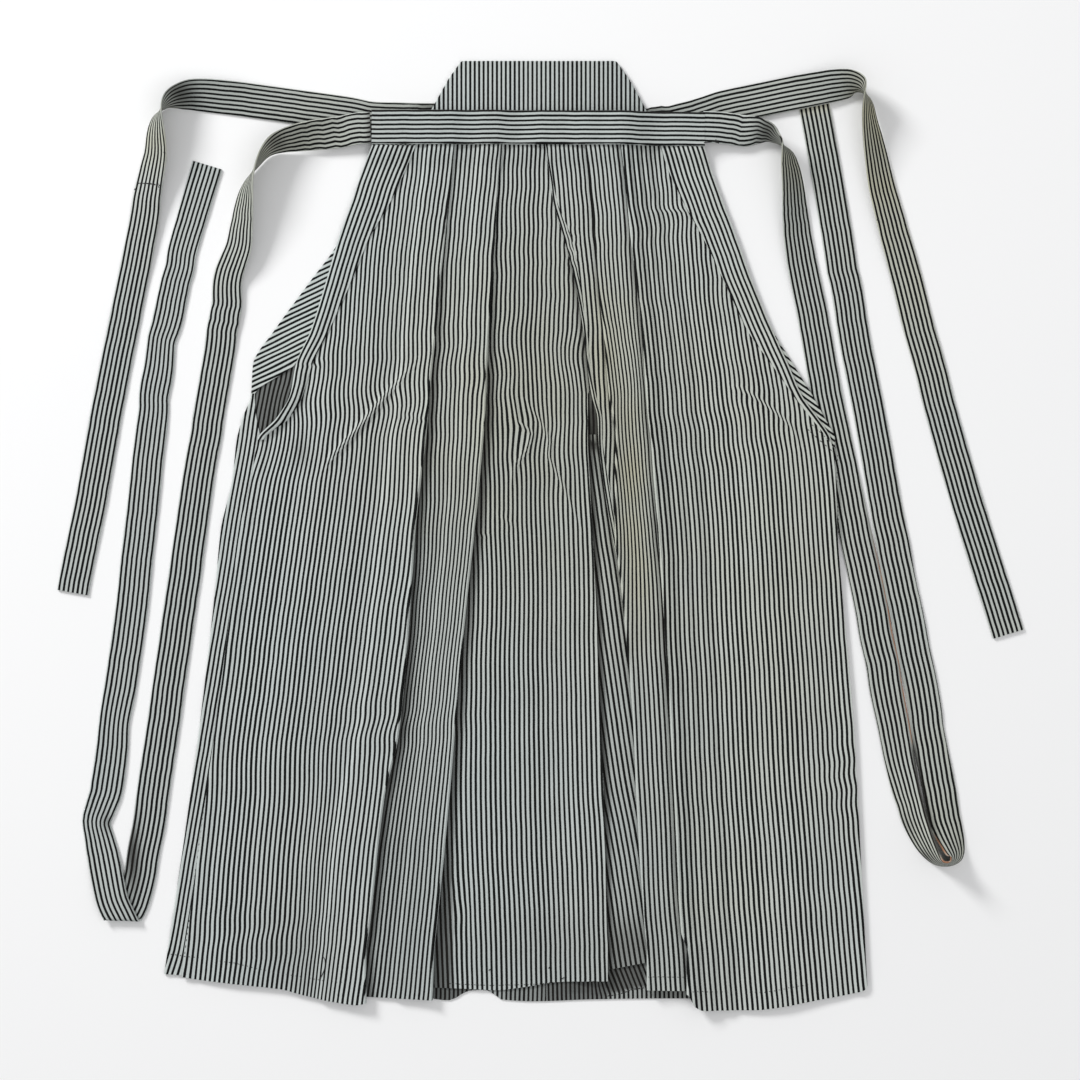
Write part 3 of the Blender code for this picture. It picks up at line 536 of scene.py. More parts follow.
def panel_rows(rows, profile):
    """Points for grid_object from a profile of (hem, across, height, u, shade) along each row.

    u is a length in mm, or (part, across, extra) for a place in that part's stripes.
    """
    result = []
    for row in rows:
        points = []
        for hem, across, height, u, shade in profile(row):
            down = hem_down(row["down"], across, hem)
            if isinstance(u, tuple):
                part, place, extra = u
                u = stripe_place(part, place, down) + extra
            # more painted shade, in patches, comes on top
            shade = min(1.0, shade + patches(PAINTED_SHADE_PATCHES, across, down))
            points.append((world(across, down, height), u + swing(across, down), down,
                           patches(STAINS, across, down), shade))
        result.append(points)
    return result


TUCKED_SHADE = 0.6
FIELD_EDGE = 0.1            # creases fade out over this share of a side panel
# shade beside each fold that stands over the cloth: reach and depth, then the rows where it comes
BESIDE_L1, BESIDE_L1_ROWS = (10.0, 0.8), (200, 430)
BESIDE_L2, BESIDE_L2_ROWS = (11.0, 0.85), (200, 400)
BESIDE_R1, BESIDE_R1_ROWS = (7.0, 0.7), ((190, 230), (366, 352))
BESIDE_R2 = (3.0, 0.4)
BESIDE_R3 = (7.0, 0.55)
# more shade: depth, rows, and places where it isn't all over
SHADE_L1 = (0.12, (380, 500))
SHADE_MIDDLE = (0.78, (770, 860), (-91.5, -96.5))
SHADE_R2 = (0.04, (300, 400))
MIDDLE_CURL = 2.5           # height of the middle panel's edge over the inner leg
CURL_WIDTH = 30.0


def raised(places, height):
    return [(across, height(across)) for across in places]


def shown(hem, part, points, shade=None):
    """Profile points of cloth that shows, in its part's stripes, from (across, height)."""
    return [(hem, across, height, (part, across, 0.0), shade(across) if shade else 0.0)
            for across, height in points]


def tucked(hem, points, fold, side=1):
    """Profile points of cloth inside a pleat, where the stripes only follow the fold."""
    return [(hem, across, height, side * (across - fold), TUCKED_SHADE)
            for across, height in points]


def rolled_over(hem, part, points, fold):
    """Profile points round a fold, with the length of cloth before (-) or past (+) its edge."""
    reach = abs(fold - points[0][0])
    last = len(points) - 1
    return [(hem, across, height, (part, fold, -reach * math.cos(math.pi * place / last)), 0.0)
            for place, (across, height) in enumerate(points)]


def tuck(row, sizes):
    return sizes[0] + (sizes[1] - sizes[0]) * row["down"] / LENGTH


def edge_width(row, side):
    return max(row["facing_" + SIDES[side]], LAP_WIDTH)


def side_field(row, across, side, pleats):
    """Extra height of a side panel, from its turned-in edge to where its pleats start."""
    edge, width, down = row["front_" + SIDES[side]], edge_width(row, side), row["down"]
    inside = side * (edge - across)
    field = straight(across, edge - side * width, pleats)
    height = BILLOW * math.sin(math.pi * field) * ramp(down, *PUFF_ROWS)
    height += creases(across, down) * straight(field, 0.0, FIELD_EDGE)
    height += relief(across, down) * straight(inside, 0.0, width)
    return height + LAYER * (1.0 - straight(inside, *(part * width for part in LAP_PARTS)))


def lip(row, across):
    """Height of the left opening's edge, which gapes."""
    inside = straight(across - row["front_left"], 0.0, edge_width(row, -1))
    return LIP * within(row["down"], *LIP_ROWS) * (1.0 - inside)


def pleated_left(row, across, fold, depth):
    """Height of the cloth that climbs over a left pleat to its fold."""
    climb = straight(across, *(fold - depth - start for start in RAMP_LEFT))
    return front_height(row, across, 1 + 2 * climb) + puff(fold - across, row, depth, PUFF_LEFT)


def side_left_height(row, across):
    fold, depth = row["fold_l1"], tuck(row, TUCK_L1)
    height = pleated_left(row, across, fold, depth) + lip(row, across)
    return height + side_field(row, across, -1, fold - depth - RAMP_LEFT[0])


def front_left(row):
    """Side panel, first pleat, strip, second pleat and middle panel, from left to right."""
    fold1, fold2, edge, down = row["fold_l1"], row["fold_l2"], row["middle"], row["down"]
    depth1, depth2 = tuck(row, TUCK_L1), tuck(row, TUCK_L2)

    def side_height(across):
        return side_left_height(row, across)

    def strip_height(across):
        rise = relief(across, down) * straight(across, fold1, fold1 + RELIEF_START)
        return pleated_left(row, across, fold2, depth2) + rise

    def middle_height(across):
        over_inner = straight(across, *(edge - start for start in INNER_RAMP))
        over_inner *= straight(down, *INNER_ROWS)
        height = front_height(row, across, 1 + over_inner) + creases(across, down)
        height += relief(across, down) * straight(across, fold2, fold2 + RELIEF_START)
        return height + MIDDLE_CURL * straight(across, edge - CURL_WIDTH, edge) ** 2 * over_inner

    def strip_shade(across):
        depth, rows = SHADE_L1
        beside = shade_beside(across - fold1, *BESIDE_L1) * ramp(down, *BESIDE_L1_ROWS)
        return depth * ramp(down, *rows) + beside

    def middle_shade(across):
        depth, rows, places = SHADE_MIDDLE
        beside_r1 = shade_beside(row["fold_r1"] - across, *BESIDE_R1)
        return max(shade_beside(across - fold2, *BESIDE_L2) * ramp(down, *BESIDE_L2_ROWS),
                   beside_r1 * within(down, *BESIDE_R1_ROWS),
                   depth * ramp(down, *rows) * ramp(across, *places))

    low = front_height(row, fold1, 1)
    fold = turn(fold1, 1, side_height(fold1 - WALL / 2), low + LAYER)
    field = spread(row["front_left"], fold[0][0] - FOLD_GAP, 68)
    points = shown("side_left", "side_left", raised(field, side_height))
    points += rolled_over("side_left", "side_left", fold, fold1)
    points += tucked("pleat_left", turn(fold1 - depth1, -1, low + LAYER, low, 3), fold1, -1)

    low = front_height(row, fold2, 1)
    fold = turn(fold2, 1, strip_height(fold2 - WALL / 2), low + LAYER)
    field = [fold1 - depth1 / 2, *spread(fold1 - WALL, fold[0][0] - FOLD_GAP, 26)]
    points += shown("pleat_left", "strip_left", raised(field, strip_height), strip_shade)
    points += rolled_over("pleat_left", "strip_left", fold, fold2)
    points += tucked("middle", turn(fold2 - depth2, -1, low + LAYER, low, 3), fold2, -1)

    field = [fold2 - depth2 / 2, *spread(fold2 - WALL, edge, 52)]
    return points + shown("middle", "middle", raised(field, middle_height), middle_shade)


def shrink(row):
    return WAIST_SHRINK + (1.0 - WAIST_SHRINK) * straight(row["down"], *SHRINK_ROWS)


def right_layers(row, across, drops):
    ends = [[row["fold_r3"] + end * shrink(row) for end in drop] for drop in DROPS[:drops]]
    return 1.0 + sum(2.0 * (1.0 - straight(across, *end)) for end in ends)


def side_right_height(row, across):
    fold, size = row["fold_r3"], shrink(row)
    height = front_height(row, across, right_layers(row, across, 3))
    height += side_field(row, across, 1, fold + DROPS[2][1] * size)
    return height + puff(across - fold, row, PUFF_RIGHT_REACH * size, PUFF_RIGHT)


# width of the rolled strip along the first right fold, where the stripes follow the fold
R1_ROLL = smooth_line([56, 110, 150, 185, 225, 260, 400, 450, 968],
                      [0.2, 0.4, 2.5, 6.0, 4.0, 1.6, 2.4, 4.5, 3.0])
R1_STRETCH = 1.45           # the stripes on it are this much closer


def front_right(row):
    """From the hidden inner end through three pleats to the side panel."""
    fold1, fold2, fold3, down = row["fold_r1"], row["fold_r2"], row["fold_r3"], row["down"]
    size = shrink(row)
    (near2, far2), (near3, far3) = ([fold3 + end * size for end in drop] for drop in DROPS[:2])

    def strip_height(across, drops, extra=0.0):
        return front_height(row, across, right_layers(row, across, drops) + extra)

    def inner_strip(across):
        soft = puff(across - fold1, row, *PUFF_R1) * straight(down, *PUFF_R1_ROWS)
        return strip_height(across, 1) + soft

    def outer_strip(across):
        rise = relief(across, down) * straight(across, fold3 - 2, fold3 - 12)
        rise *= straight(across, fold2, fold2 + 6)
        return strip_height(across, 2) + puff(across - fold2, row, *PUFF_R2) + rise

    def side_height(across):
        return side_right_height(row, across)

    def outer_shade(across):
        depth, rows = SHADE_R2
        return depth * ramp(down, *rows) + shade_beside(fold3 - across, *BESIDE_R3)

    def fold_over(drops, hem_under, end, hem, part, fold, inside, height):
        """Points of a turned end, the cloth inside the pleat and the fold on top of it."""
        level = strip_height(end, drops)
        turned = turn(end, 1, level, level + LAYER, 3)
        hidden = raised(inside, lambda across: strip_height(across, drops, 1.0))
        level = strip_height(fold, drops, 1.0)
        over = turn(fold, -1, level, height(fold + WALL / 2))
        return (tucked(hem_under, turned, fold) + tucked(hem, hidden, fold)
                + shown(hem, part, over))

    under = front_height(row, fold1, 2)
    start = (fold3 + UNDER_END * size, (fold1 + fold3) / 2)
    points = tucked("under_right", [(across, under) for across in start], fold1)
    roll = turn(fold1, -1, under, inner_strip(fold1 + WALL / 2))
    start = roll[-1][0] + FOLD_START
    roll += raised(spread(start, start + R1_ROLL(down), 4), inner_strip)
    points += [("under_right", across, height, (across - fold1) * R1_STRETCH, 0.0)
               for across, height in roll]
    field = [*spread(roll[-1][0] + 0.03, fold3 - 4, 20), *spread(fold3, far2, 4)]
    points += shown("under_right", "pleat_r1", raised(field, inner_strip),
                    lambda across: shade_beside(fold2 - across, *BESIDE_R2))

    points += fold_over(1, "under_right", fold3 + TUCK_R2 * size, "pleat_right", "pleat_r2", fold2,
                        (far2, near2, (fold2 + fold3) / 2), outer_strip)
    field = [*spread(points[-1][1] + FOLD_START, fold3 - 1, 20), *spread(fold3 + 3, far3, 5)]
    points += shown("pleat_right", "pleat_r2", raised(field, outer_strip), outer_shade)
    points += fold_over(2, "pleat_right", fold3 + TUCK_R3 * size, "side_right", "side_right",
                        fold3, (far3, near3, far2, near2), side_height)
    field = spread(points[-1][1] + FOLD_START, row["front_right"], 76)
    return points + shown("side_right", "side_right", raised(field, side_height))


def facing_rows(side):
    """The folded strip along a slanted opening edge, its stripes parallel to that edge."""
    panel_height = side_left_height if side < 0 else side_right_height
    edge = LINES["front_" + SIDES[side]]
    (dip, reach), (inner_dip, inner_reach) = FACING_DIPS
    result = []
    for row in section_rows(FACING_TOP, FACING_END, FACING_STEP):
        down, width = row["down"], row["facing_" + SIDES[side]]
        squeeze = 1.0 / math.hypot(1.0, (edge(down + 4) - edge(down - 4)) / 8)
        points = []
        for inside in spread(0.0, width, 12):
            across = edge(down) - side * inside
            height = panel_height(row, across) + FACING_LIFT
            height -= dip * (1.0 - ramp(inside, 0.0, reach))
            height -= inner_dip * (1.0 - ramp(width - inside, 0.0, inner_reach))
            u = inside * squeeze + 0.5 * swing(across, down)
            points.append((world(across, down, height), u, down,
                           patches(STAINS, across, down), 0.0))
        result.append(points[::-side])
    return result


# by side: how far the back's stripes lean per millimetre down, their turn on the turned edge, how
# far down that edge goes before the side seam's strip shows instead, and the strip's own lean
BACK_STRIPES = {-1: (-0.06, math.radians(26.0), 352.0, -0.165),
                1: (0.05, math.radians(-36.0), 409.0, 0.06)}
SEAM_SLANT = 0.33       # lean of the stripes above the seam across the back
SEAM_END = 114.0
BACK_SHADE = 0.3
# the dark crotch opening: rows, places across, shade, and by how much and where it is lighter
CROTCH = ((325, 405), (30, 80), 0.92, 0.25, (380, 352))
# deep shade at the back's hem: strength, where it comes in and where it goes, across
HEM_SHADES = ((1.0, (-130, -116), (-60, -76)), (0.6, (-50, -34), (60, 20)),
              (0.85, (-22, 8), (74, 70)), (0.62, (112, 114), (160, 150)))
SEAM_SHADE = (0.92, (10, 30), (112, 110))
HEM_DEEPEST = 0.82
# the part that shows in the left opening's gap: its rows, right end, lean of stripes and shade
GAP_ROWS = (300, 430)
GAP_END = -230
GAP_LEAN = -0.2
GAP_SHADE = 0.8
GAP_FADES = ((312, 322), (425, 405))
SLANT_PLACES = (50, 66)
TURNED_DIP = 0.3            # the turned edge is pressed down by this
DIP_PLACES = (3, 9)


def back_shade(across, down):
    """Where the back lies deep under the front: the crotch opening and the hem."""
    def under(strength, come, go):
        return strength * ramp(across, *come) * ramp(across, *go)

    shade = BACK_SHADE
    (top, low), (left, right), dark, lighter, rows = CROTCH
    if top < down < low and left < across < right:
        shade = dark - lighter * ramp(down, *rows)
    if down > HEM_ROW:
        seam = HEM_LINES["leg_seam"](across)
        above_seam = under(*SEAM_SHADE) * ramp(down, seam + 1.0, seam - 2.0)
        shade = max(shade, HEM_DEEPEST * max(above_seam, *(under(*row) for row in HEM_SHADES)))
    return shade


def back_panel(side):
    """A back panel whose slanted side edge is turned over on to it, with bias stripes there."""
    lean, bias, change, seam_lean = BACK_STRIPES[side]

    def profile(row):
        edge, turned, down = row["back_" + SIDES[side]], row["turned_" + SIDES[side]], row["down"]

        def on_turned(across):
            if down < change:
                return down * math.cos(bias) + across * math.sin(bias)
            return across - seam_lean * down

        points = []
        for across in spread(BACK_SEAM + side * 0.15, edge - side * 3.0, 60):
            place = hem_down(down, across, "back")
            shade = back_shade(across, place)
            course = across - lean * down
            if side > 0 and place > HEM_ROW and across < SEAM_END:
                above = max(HEM_LINES["leg_seam"](across) - place, 0.0)
                course += SEAM_SLANT * above * ramp(across, *SLANT_PLACES)
            if side < 0 and across < GAP_END and GAP_ROWS[0] < down < GAP_ROWS[1]:
                shade = GAP_SHADE * within(down, *GAP_FADES)
                course = across - GAP_LEAN * down
            points.append(("back", across, base_height(row, across), course, shade))
        level = base_height(row, edge)
        for across, height in turn(edge, side, level, level + LAYER):
            over = height > level + LAYER / 2
            course = on_turned(across) if over else across - lean * down
            points.append(("back", across, height, course, 0.0))
        for across in spread(edge - side * 2.2, turned, 14):
            dip = TURNED_DIP * ramp(abs(across - edge), *DIP_PLACES)
            height = base_height(row, across) + LAYER - dip
            points.append(("back", across, height, on_turned(across), 0.0))
        return points[::side]

    return panel_rows([*section_rows(BACK_TOP, change - 0.03, BACK_STEP),
                       *section_rows(change, HEM_ROW, BACK_STEP),
                       *section_rows(HEM_ROW + BACK_HEM_STEP, LAST_ROW, BACK_HEM_STEP)], profile)


# painted shade on the inner leg: the least, beside the folds over it, and at its two ends
INNER_SHADE = 0.08
INNER_BESIDE = ((9.0, 0.95), (7.0, 0.6))    # beside the middle panel and the first right fold
INNER_ENDS = ((0.95, (426, 404)), (0.42, (880, 935)))       # depth and rows
# a pale spot at the opening's lower end, where the painted shade is lifted: rows, middle, reach
# and strength
PALE_SPOT = ((405, 400), 54.3, (1.2, 2.6), 0.9)
INNER_RELIEF = 0.7
RELIEF_BELOW = 90           # its relief is that of the cloth this much lower


def inner_leg(row):
    """The panel behind the middle one, with painted shade beside the folds over it and at its
    ends.
    """
    edge, fold, down = row["middle"], row["fold_r1"], row["down"]
    rows, spot, reach, pale = PALE_SPOT
    points = []
    for across in spread(edge - INNER_UNDER, row["fold_r3"] + UNDER_END * shrink(row), 44):
        shade = max(INNER_SHADE, *(depth * ramp(down, *rows) for depth, rows in INNER_ENDS),
                    *(shade_beside(distance, *sizes) for distance, sizes
                      in zip((across - edge, fold - across), INNER_BESIDE)))
        shade *= 1.0 - pale * ramp(down, *rows) * (1.0 - ramp(abs(across - spot), *reach))
        rise = INNER_RELIEF * relief(across, down + RELIEF_BELOW)
        rise *= straight(across, edge + 2, edge + 14) * straight(across, fold, fold - 10)
        points.append(("inner", across, front_height(row, across, 1) + rise,
                       ("inner", across, 0.0), shade))
    return points


# ---------- ties and band
# each tie's path: (across, down, roll, lift); a roll that is left out stays, a lift is then 0
FRONT_TIE_LEFT_OUT = (
    (-180.8, 71.5, 0, 8.3), (-193, 72, -2, 7.4), (-214, 76, -6, 5.2), (-252, 81.4, -30, 2.9),
    (-277.5, 88, -54, 0.6), (-291, 97.5, -76), (-301, 113, -92), (-309, 130, -112),
    (-313, 147, -128), (-318, 184, -150), (-320.5, 198.5, -158), (-332, 229, -172),
    (-333.5, 259, -176), (-338.5, 286.5, -178), (-342, 314, -180), (-353.5, 380), (-355, 394),
    (-360.5, 422), (-367, 465), (-377.5, 541), (-382, 570.5), (-388.5, 616.5), (-395, 662.5),
    (-401.5, 709), (-408.5, 754), (-412.5, 783), (-416, 810), (-421.3, 836), (-426.3, 868),
    (-433, 892), (-441, 907),
)
FRONT_TIE_LEFT_BACK = (
    (-446, 907, 0, 5.0), (-454, 889.5, 0, 4.4), (-459, 868, 0, 3.2), (-463.5, 846, 0, 1.2),
    (-468, 825), (-471.5, 805.5), (-466.5, 789), (-461, 772), (-454.5, 725), (-453.5, 710),
    (-452, 696), (-446.7, 666), (-434, 578), (-428, 521), (-421.5, 465), (-416.5, 417),
    (-411, 370), (-410.5, 354), (-405.7, 327), (-404, 310.5), (-402.3, 294.5), (-397.5, 279),
    (-393.8, 263), (-387.3, 232.7), (-383.2, 218.7), (-381, 203.5), (-377, 188.5), (-358.7, 125.5),
    (-354, 110),
)
FRONT_TIE_RIGHT = (
    (170.5, 70.6, 0, 8.3), (188, 71.2, 3, 7.2), (202, 73.1, 8, 5.8), (215, 75, 14, 4.4),
    (228, 75.5, 38, 2.8), (239, 77.5, 58, 1.0), (246, 82, 76), (253, 88.5, 92), (259.5, 100, 118),
    (263, 115, 132), (266, 136, 144), (268.3, 162, 156), (271.5, 190, 165), (277, 220, 173),
    (286.4, 264, 178), (294, 307, 180), (301.8, 351), (310.6, 394), (319.6, 437), (331, 493),
    (340.5, 536), (349.7, 580), (354.5, 609), (361, 637), (365, 664), (373.6, 707),
    (379.2, 739, 184), (385.8, 772, 196), (390, 787, 204), (394, 802, 212), (404, 826, 230),
    (413, 841, 246), (421, 848, 257), (431, 848, 254), (437, 841, 236), (434.5, 828, 218),
    (427.4, 806, 196), (424.3, 789, 190), (421.5, 772, 184), (411.3, 722, 180), (408.5, 707),
    (407, 692), (404.8, 676.5), (399.7, 649.5), (393.9, 623.5), (391.1, 607.5), (388.1, 591.5),
    (384.7, 575.5), (381, 560), (378, 544), (375.3, 528), (372.7, 512), (369.5, 497), (363.6, 465),
    (347, 372), (332, 296), (322.5, 236), (318.8, 222), (312.6, 181), (292, 64), (289, 47),
)
BACK_TIE_LEFT = (
    (-112, 62.5), (-137, 62), (-150, 61.5), (-181, 60.5), (-203, 56), (-228, 52.3), (-252, 49),
    (-300, 42.6, -4), (-330, 39, -12), (-366, 36.4, -24), (-381, 39, -44), (-391, 43, -64),
    (-399, 50, -90), (-406, 65, -120), (-408, 99, -146), (-411.2, 115, -155),
    (-417.2, 143.5, -166), (-421, 171, -174), (-436.7, 250, -180), (-461.2, 373.5), (-477, 464.5),
    (-491.4, 534.5), (-496.5, 563),
)
BACK_TIE_RIGHT = (
    (106, 64.5), (124, 65.5), (142, 63.5), (158, 60), (173, 55.7), (189, 50.3, 0, 0.3),
    (203, 47, 0, 0.8), (246, 38.4, 0, 2.0), (277, 32.4, 4, 2.9), (302, 28, 12, 2.9),
    (323, 25.5, 30, 1.6), (334, 27, 56, 0.3), (340, 33, 90), (344, 44, 112), (346.3, 62, 126),
    (350, 83, 139), (354, 104, 149), (357.5, 122, 156), (361.5, 139, 162), (374.7, 187, 172),
    (386, 227, 178), (399.6, 281.5, 180), (411.7, 323.5), (421.7, 364.7), (454.4, 478.5),
    (490.3, 592.5), (494.7, 607),
)
# Looks of each tie, at lengths along it: width, stain, shade and the rest of what tape_rows takes.
# bars: number of dark bars across the face that is up at the band or board, and the other face
TIES = {
    "front_tie_left": {
        "seed": 1.0, "bars": (7, 7),
        "width": (
            (0, 33.8), (200, 31.0), (260, 31.5), (300, 33.2), (450, 33.4), (570, 34.4),
            (800, 35.0), (900, 34.0), (950, 33.5), (1010, 34.8), (1030, 33.5), (1052, 29.8),
            (1075, 33.0), (1100, 35.2), (1140, 34.2), (1165, 32.6), (1200, 34.4), (1300, 34.4),
            (1480, 33.2), (1508, 31.8), (1530, 33.2), (1570, 30.4), (1600, 32.6), (1660, 31.2),
            (1750, 32.6)),
        "stain": ((0, 0.1), (120, 0.3), (300, 0.05), (1000, 0.0)),
        "shade": ((0, 0.75), (3, 0.3), (8, 0.05), (120, 0.25), (170, 0.1), (260, 0.0)),
        "ruffle": ((5, 1.6), (60, 1.4), (110, 0.6), (225, 0.4), (290, 1.2), (380, 0.0)),
    },
    "front_tie_right": {
        "seed": 5.0, "bars": (7, 7), "calm": (30, 0),
        "width": (
            (0, 33.3), (60, 33.3), (150, 31.0), (210, 32.4), (440, 33.4), (560, 35.4), (680, 35.4),
            (745, 33.0), (800, 29.5), (860, 33.0), (920, 35.8), (1010, 35.6), (1220, 35.2),
            (1280, 34.0), (1400, 33.2), (1700, 32.4)),
        "slide": (
            (440, 0.0), (520, 2.0), (740, 2.0), (785, 0.0), (960, 0.0), (1010, 2.0), (1190, 2.0),
            (1260, 0.0)),
        "stain": (
            (0, 0.0), (60, 0.1), (110, 0.4), (160, 0.12), (700, 0.12), (900, 0.25), (1100, 0.1),
            (1690, 0.1), (1712, 0.9)),
        "shade": ((0, 0.0), (60, 0.05), (90, 0.25), (140, 0.1), (200, 0.0)),
        "bare": (
            (505, 0.0), (540, 0.5), (575, 0.9), (640, 0.9), (660, 0.5), (680, 1.0), (735, 1.0),
            (742, 0.0), (862, 0.0), (872, 0.9), (915, 0.9), (925, 0.0)),
        "inner_dark": (
            (440, 0.0), (520, 0.5), (738, 0.5), (748, 0.95), (860, 0.95), (870, 0.0), (925, 0.0),
            (930, 0.95), (1010, 0.9), (1040, 0.3), (1180, 0.3), (1260, 0.0)),
        "ruffle": ((20, 0.0), (50, 2.2), (85, 2.6), (120, 0.6), (150, 1.2), (200, 0.0)),
    },
    "back_tie_left": {
        "seed": 3.0, "bars": (8, 7), "crumple": 0.22,
        "width": (
            (0, 36.0), (240, 36.0), (300, 33.0), (370, 31.2), (410, 32.2), (620, 33.4),
            (830, 33.8)),
        "stain": ((0, 0.15), (260, 0.05), (330, 0.4), (380, 0.05), (900, 0.0)),
        "shade": ((0, 0.75), (14, 0.5), (30, 0.15), (250, 0.1), (310, 0.2), (380, 0.0)),
    },
    "back_tie_right": {
        "seed": 4.0, "bars": (8, 7), "crumple": 0.22,
        "width": (
            (0, 36.0), (170, 36.0), (210, 34.5), (270, 31.0), (350, 31.2), (440, 32.8),
            (700, 34.0), (830, 34.2)),
        "stain": ((0, 0.1), (210, 0.1), (260, 0.6), (420, 0.35), (600, 0.1)),
        "shade": ((0, 0.75), (14, 0.5), (34, 0.15), (150, 0.08), (250, 0.2), (320, 0.0)),
    },
}
# darker places on the ties: middle (across, down), reach (across, down), strength
TIE_SHADOWS = (
    (-433, 842, 8, 44, 0.95), (-381, 36, 17, 15, 0.8), (238, 76, 12, 15, 0.75),
    (402, 845, 10, 8, 0.85), (384, 812, 10, 16, 0.3), (328, 27, 13, 13, 0.4),
    (-280, 88, 14, 12, 0.6), (-460, 806, 6, 10, 0.5),
)
SHADOW_END = 2.5
TIE_STEP = 6.0
TIE_TURN = 5.0
FOLD_STEPS = 9
FACE_INSET = 0.35           # a tape's faces stop this share of its thickness short of its edges
FACE_PLACES = (0.8, 0.94)   # shares of the half width: the last even place, and one by the edge
FACE_ARCH = 0.12
TAPE_EDGES = 2.6            # what a tape with 8 bars has outside the middles of its outer bars
BAR_LOSS = 1.6              # and more for each bar fewer
EDGE_DARK = (0.93, 0.99)    # shares of the half width where the shade at the edge comes in
BARE_FROM = 0.97
CRUMPLED = (45, 5)          # lengths along where the crumpling by the board ends and is whole
GATHERED = (50.0, 8.0)
# unevenness of the stripes along a tape, as in STRIPE_DRIFT
TAPE_DRIFT = ((34, 1, 0.5, 0.45), (11, 1, 4.5, 0.3))
CRUMPLE_DRIFT = ((8, 1, 6.1, 6.0),)
RUFFLE_DRIFT = ((9, 1, 2.2, 1.0),)
GATHER_DRIFT = ((9, 1, 8.5, 0.8),)
TORN_DRIFT = ((5, 1, 3.3, 1.0),)
BAND_DRIFT = ((26, 1, 0.4, 0.35),)
BAND_SEED = 2.2
RIPPLE = (0.35, 16, 12)     # size, length and reach
BAND_ROWS = (60.0, 84.0)    # where the band rests on the pleats
BAND_EVENED = 9.0           # it evens out their heights this far on either side
BAND_NEAR = 8.0             # counts points this near
BAND_LEAST = 8.0            # lies at least this high
BAND_GAP = 0.5              # and this far above


def filled(path):
    """The path's rows with what they leave out."""
    roll = 0
    rows = []
    for across, down, *rest in path:
        roll = rest[0] if rest else roll
        rows.append((across, down, roll, rest[1] if len(rest) > 1 else 0))
    return rows


def path_steps(rows):
    """Smooth places along a tie: (across, down, roll, lift) and the heading at each."""
    knots = [0.0]
    for before, after in zip(rows, rows[1:]):
        knots.append(knots[-1] + math.dist(before[:2], after[:2]))
    slopes = []
    for place in range(len(rows)):
        low, high = max(place - 1, 0), min(place + 1, len(rows) - 1)
        span = knots[high] - knots[low]
        slopes.append([(b - a) / span for a, b in zip(rows[low], rows[high])])
    steps = []
    for place in range(len(rows) - 1):
        span = knots[place + 1] - knots[place]
        first, second = slopes[place], slopes[place + 1]
        bend = abs(math.remainder(math.atan2(second[1], second[0])
                                  - math.atan2(first[1], first[0]), 2.0 * math.pi))
        roll = abs(rows[place + 1][2] - rows[place][2])
        count = math.ceil(max(span / TIE_STEP, roll / TIE_TURN, math.degrees(bend) / TIE_TURN))
        ends = list(zip(rows[place], rows[place + 1], first, second))
        last = place == len(rows) - 2
        for step in range(count + 1 if last else count):
            right, below = (curve_slope(step / count, span, *end) for end in ends[:2])
            steps.append(([curve(step / count, span, *end) for end in ends],
                          math.atan2(-below, right)))
    return steps


def tie_stations(path):
    """Centre, width direction and face direction along a tie that lies or stands on the table."""
    stations = []
    for (across, down, roll, lift), heading in path_steps(filled(path)):
        roll = math.radians(roll)
        ahead = Vector((math.cos(heading), math.sin(heading), 0.0))
        width = UP.cross(ahead) * math.cos(roll) + UP * math.sin(roll)
        height = abs(math.cos(roll)) * TIE_THICK / 2 + abs(math.sin(roll)) * TIE_WIDTH / 2
        stations.append((world(across, down, max(lift, 0.0) + height), width, ahead.cross(width)))
    return stations


def folded_back(before, after):
    """Stations of a tie that doubles back over itself, in place of the two that it joins."""
    start, start_width, start_face = before
    end, end_width, end_face = after
    fold = (start_width.cross(start_face) + end_width.cross(end_face)).normalized()
    outward = UP.cross(fold)
    radius = (end.z - start.z) / 2
    stations = []
    for step in range(FOLD_STEPS + 1):
        share = step / FOLD_STEPS
        angle = math.pi * share
        slant = (1.0 - share) / fold.dot(start_width) + share / fold.dot(end_width)
        ahead = outward * math.cos(angle) + UP * math.sin(angle)
        centre = start.lerp(end, share)
        centre.z = start.z + radius * (1.0 - math.cos(angle))
        centre += outward * radius * math.sin(angle)
        stations.append((centre, fold * slant, ahead.cross(fold)))
    return stations


def bar_places(bars, width):
    """(stripes' u for each millimetre, u in the middle) for that many dark bars across a tape."""
    pitch = (width - TAPE_EDGES - BAR_LOSS * (8 - bars)) / (bars - 1)
    return STRIPE / pitch, STRIPE / 2 if bars % 2 else 0.0


def tape_ring(sides):
    """Points round a tape: share of the half width, inset and height in thicknesses, face."""
    last, by_edge = FACE_PLACES
    ring = [(share, FACE_INSET, 0.5 * (1.0 - FACE_ARCH * share**4), 0)
            for share in [-1.0, -by_edge, *spread(-last, last, sides), by_edge, 1.0]]
    under = [(share, inset, -above, 1) for share, inset, above, _ in reversed(ring)]
    return [*ring, (1.0, 0.0, 0.0, 0), *under, (-1.0, 0.0, 0.0, 2), ring[0][:3] + (3,)]


NONE = ((0, 0.0), (1, 0.0))


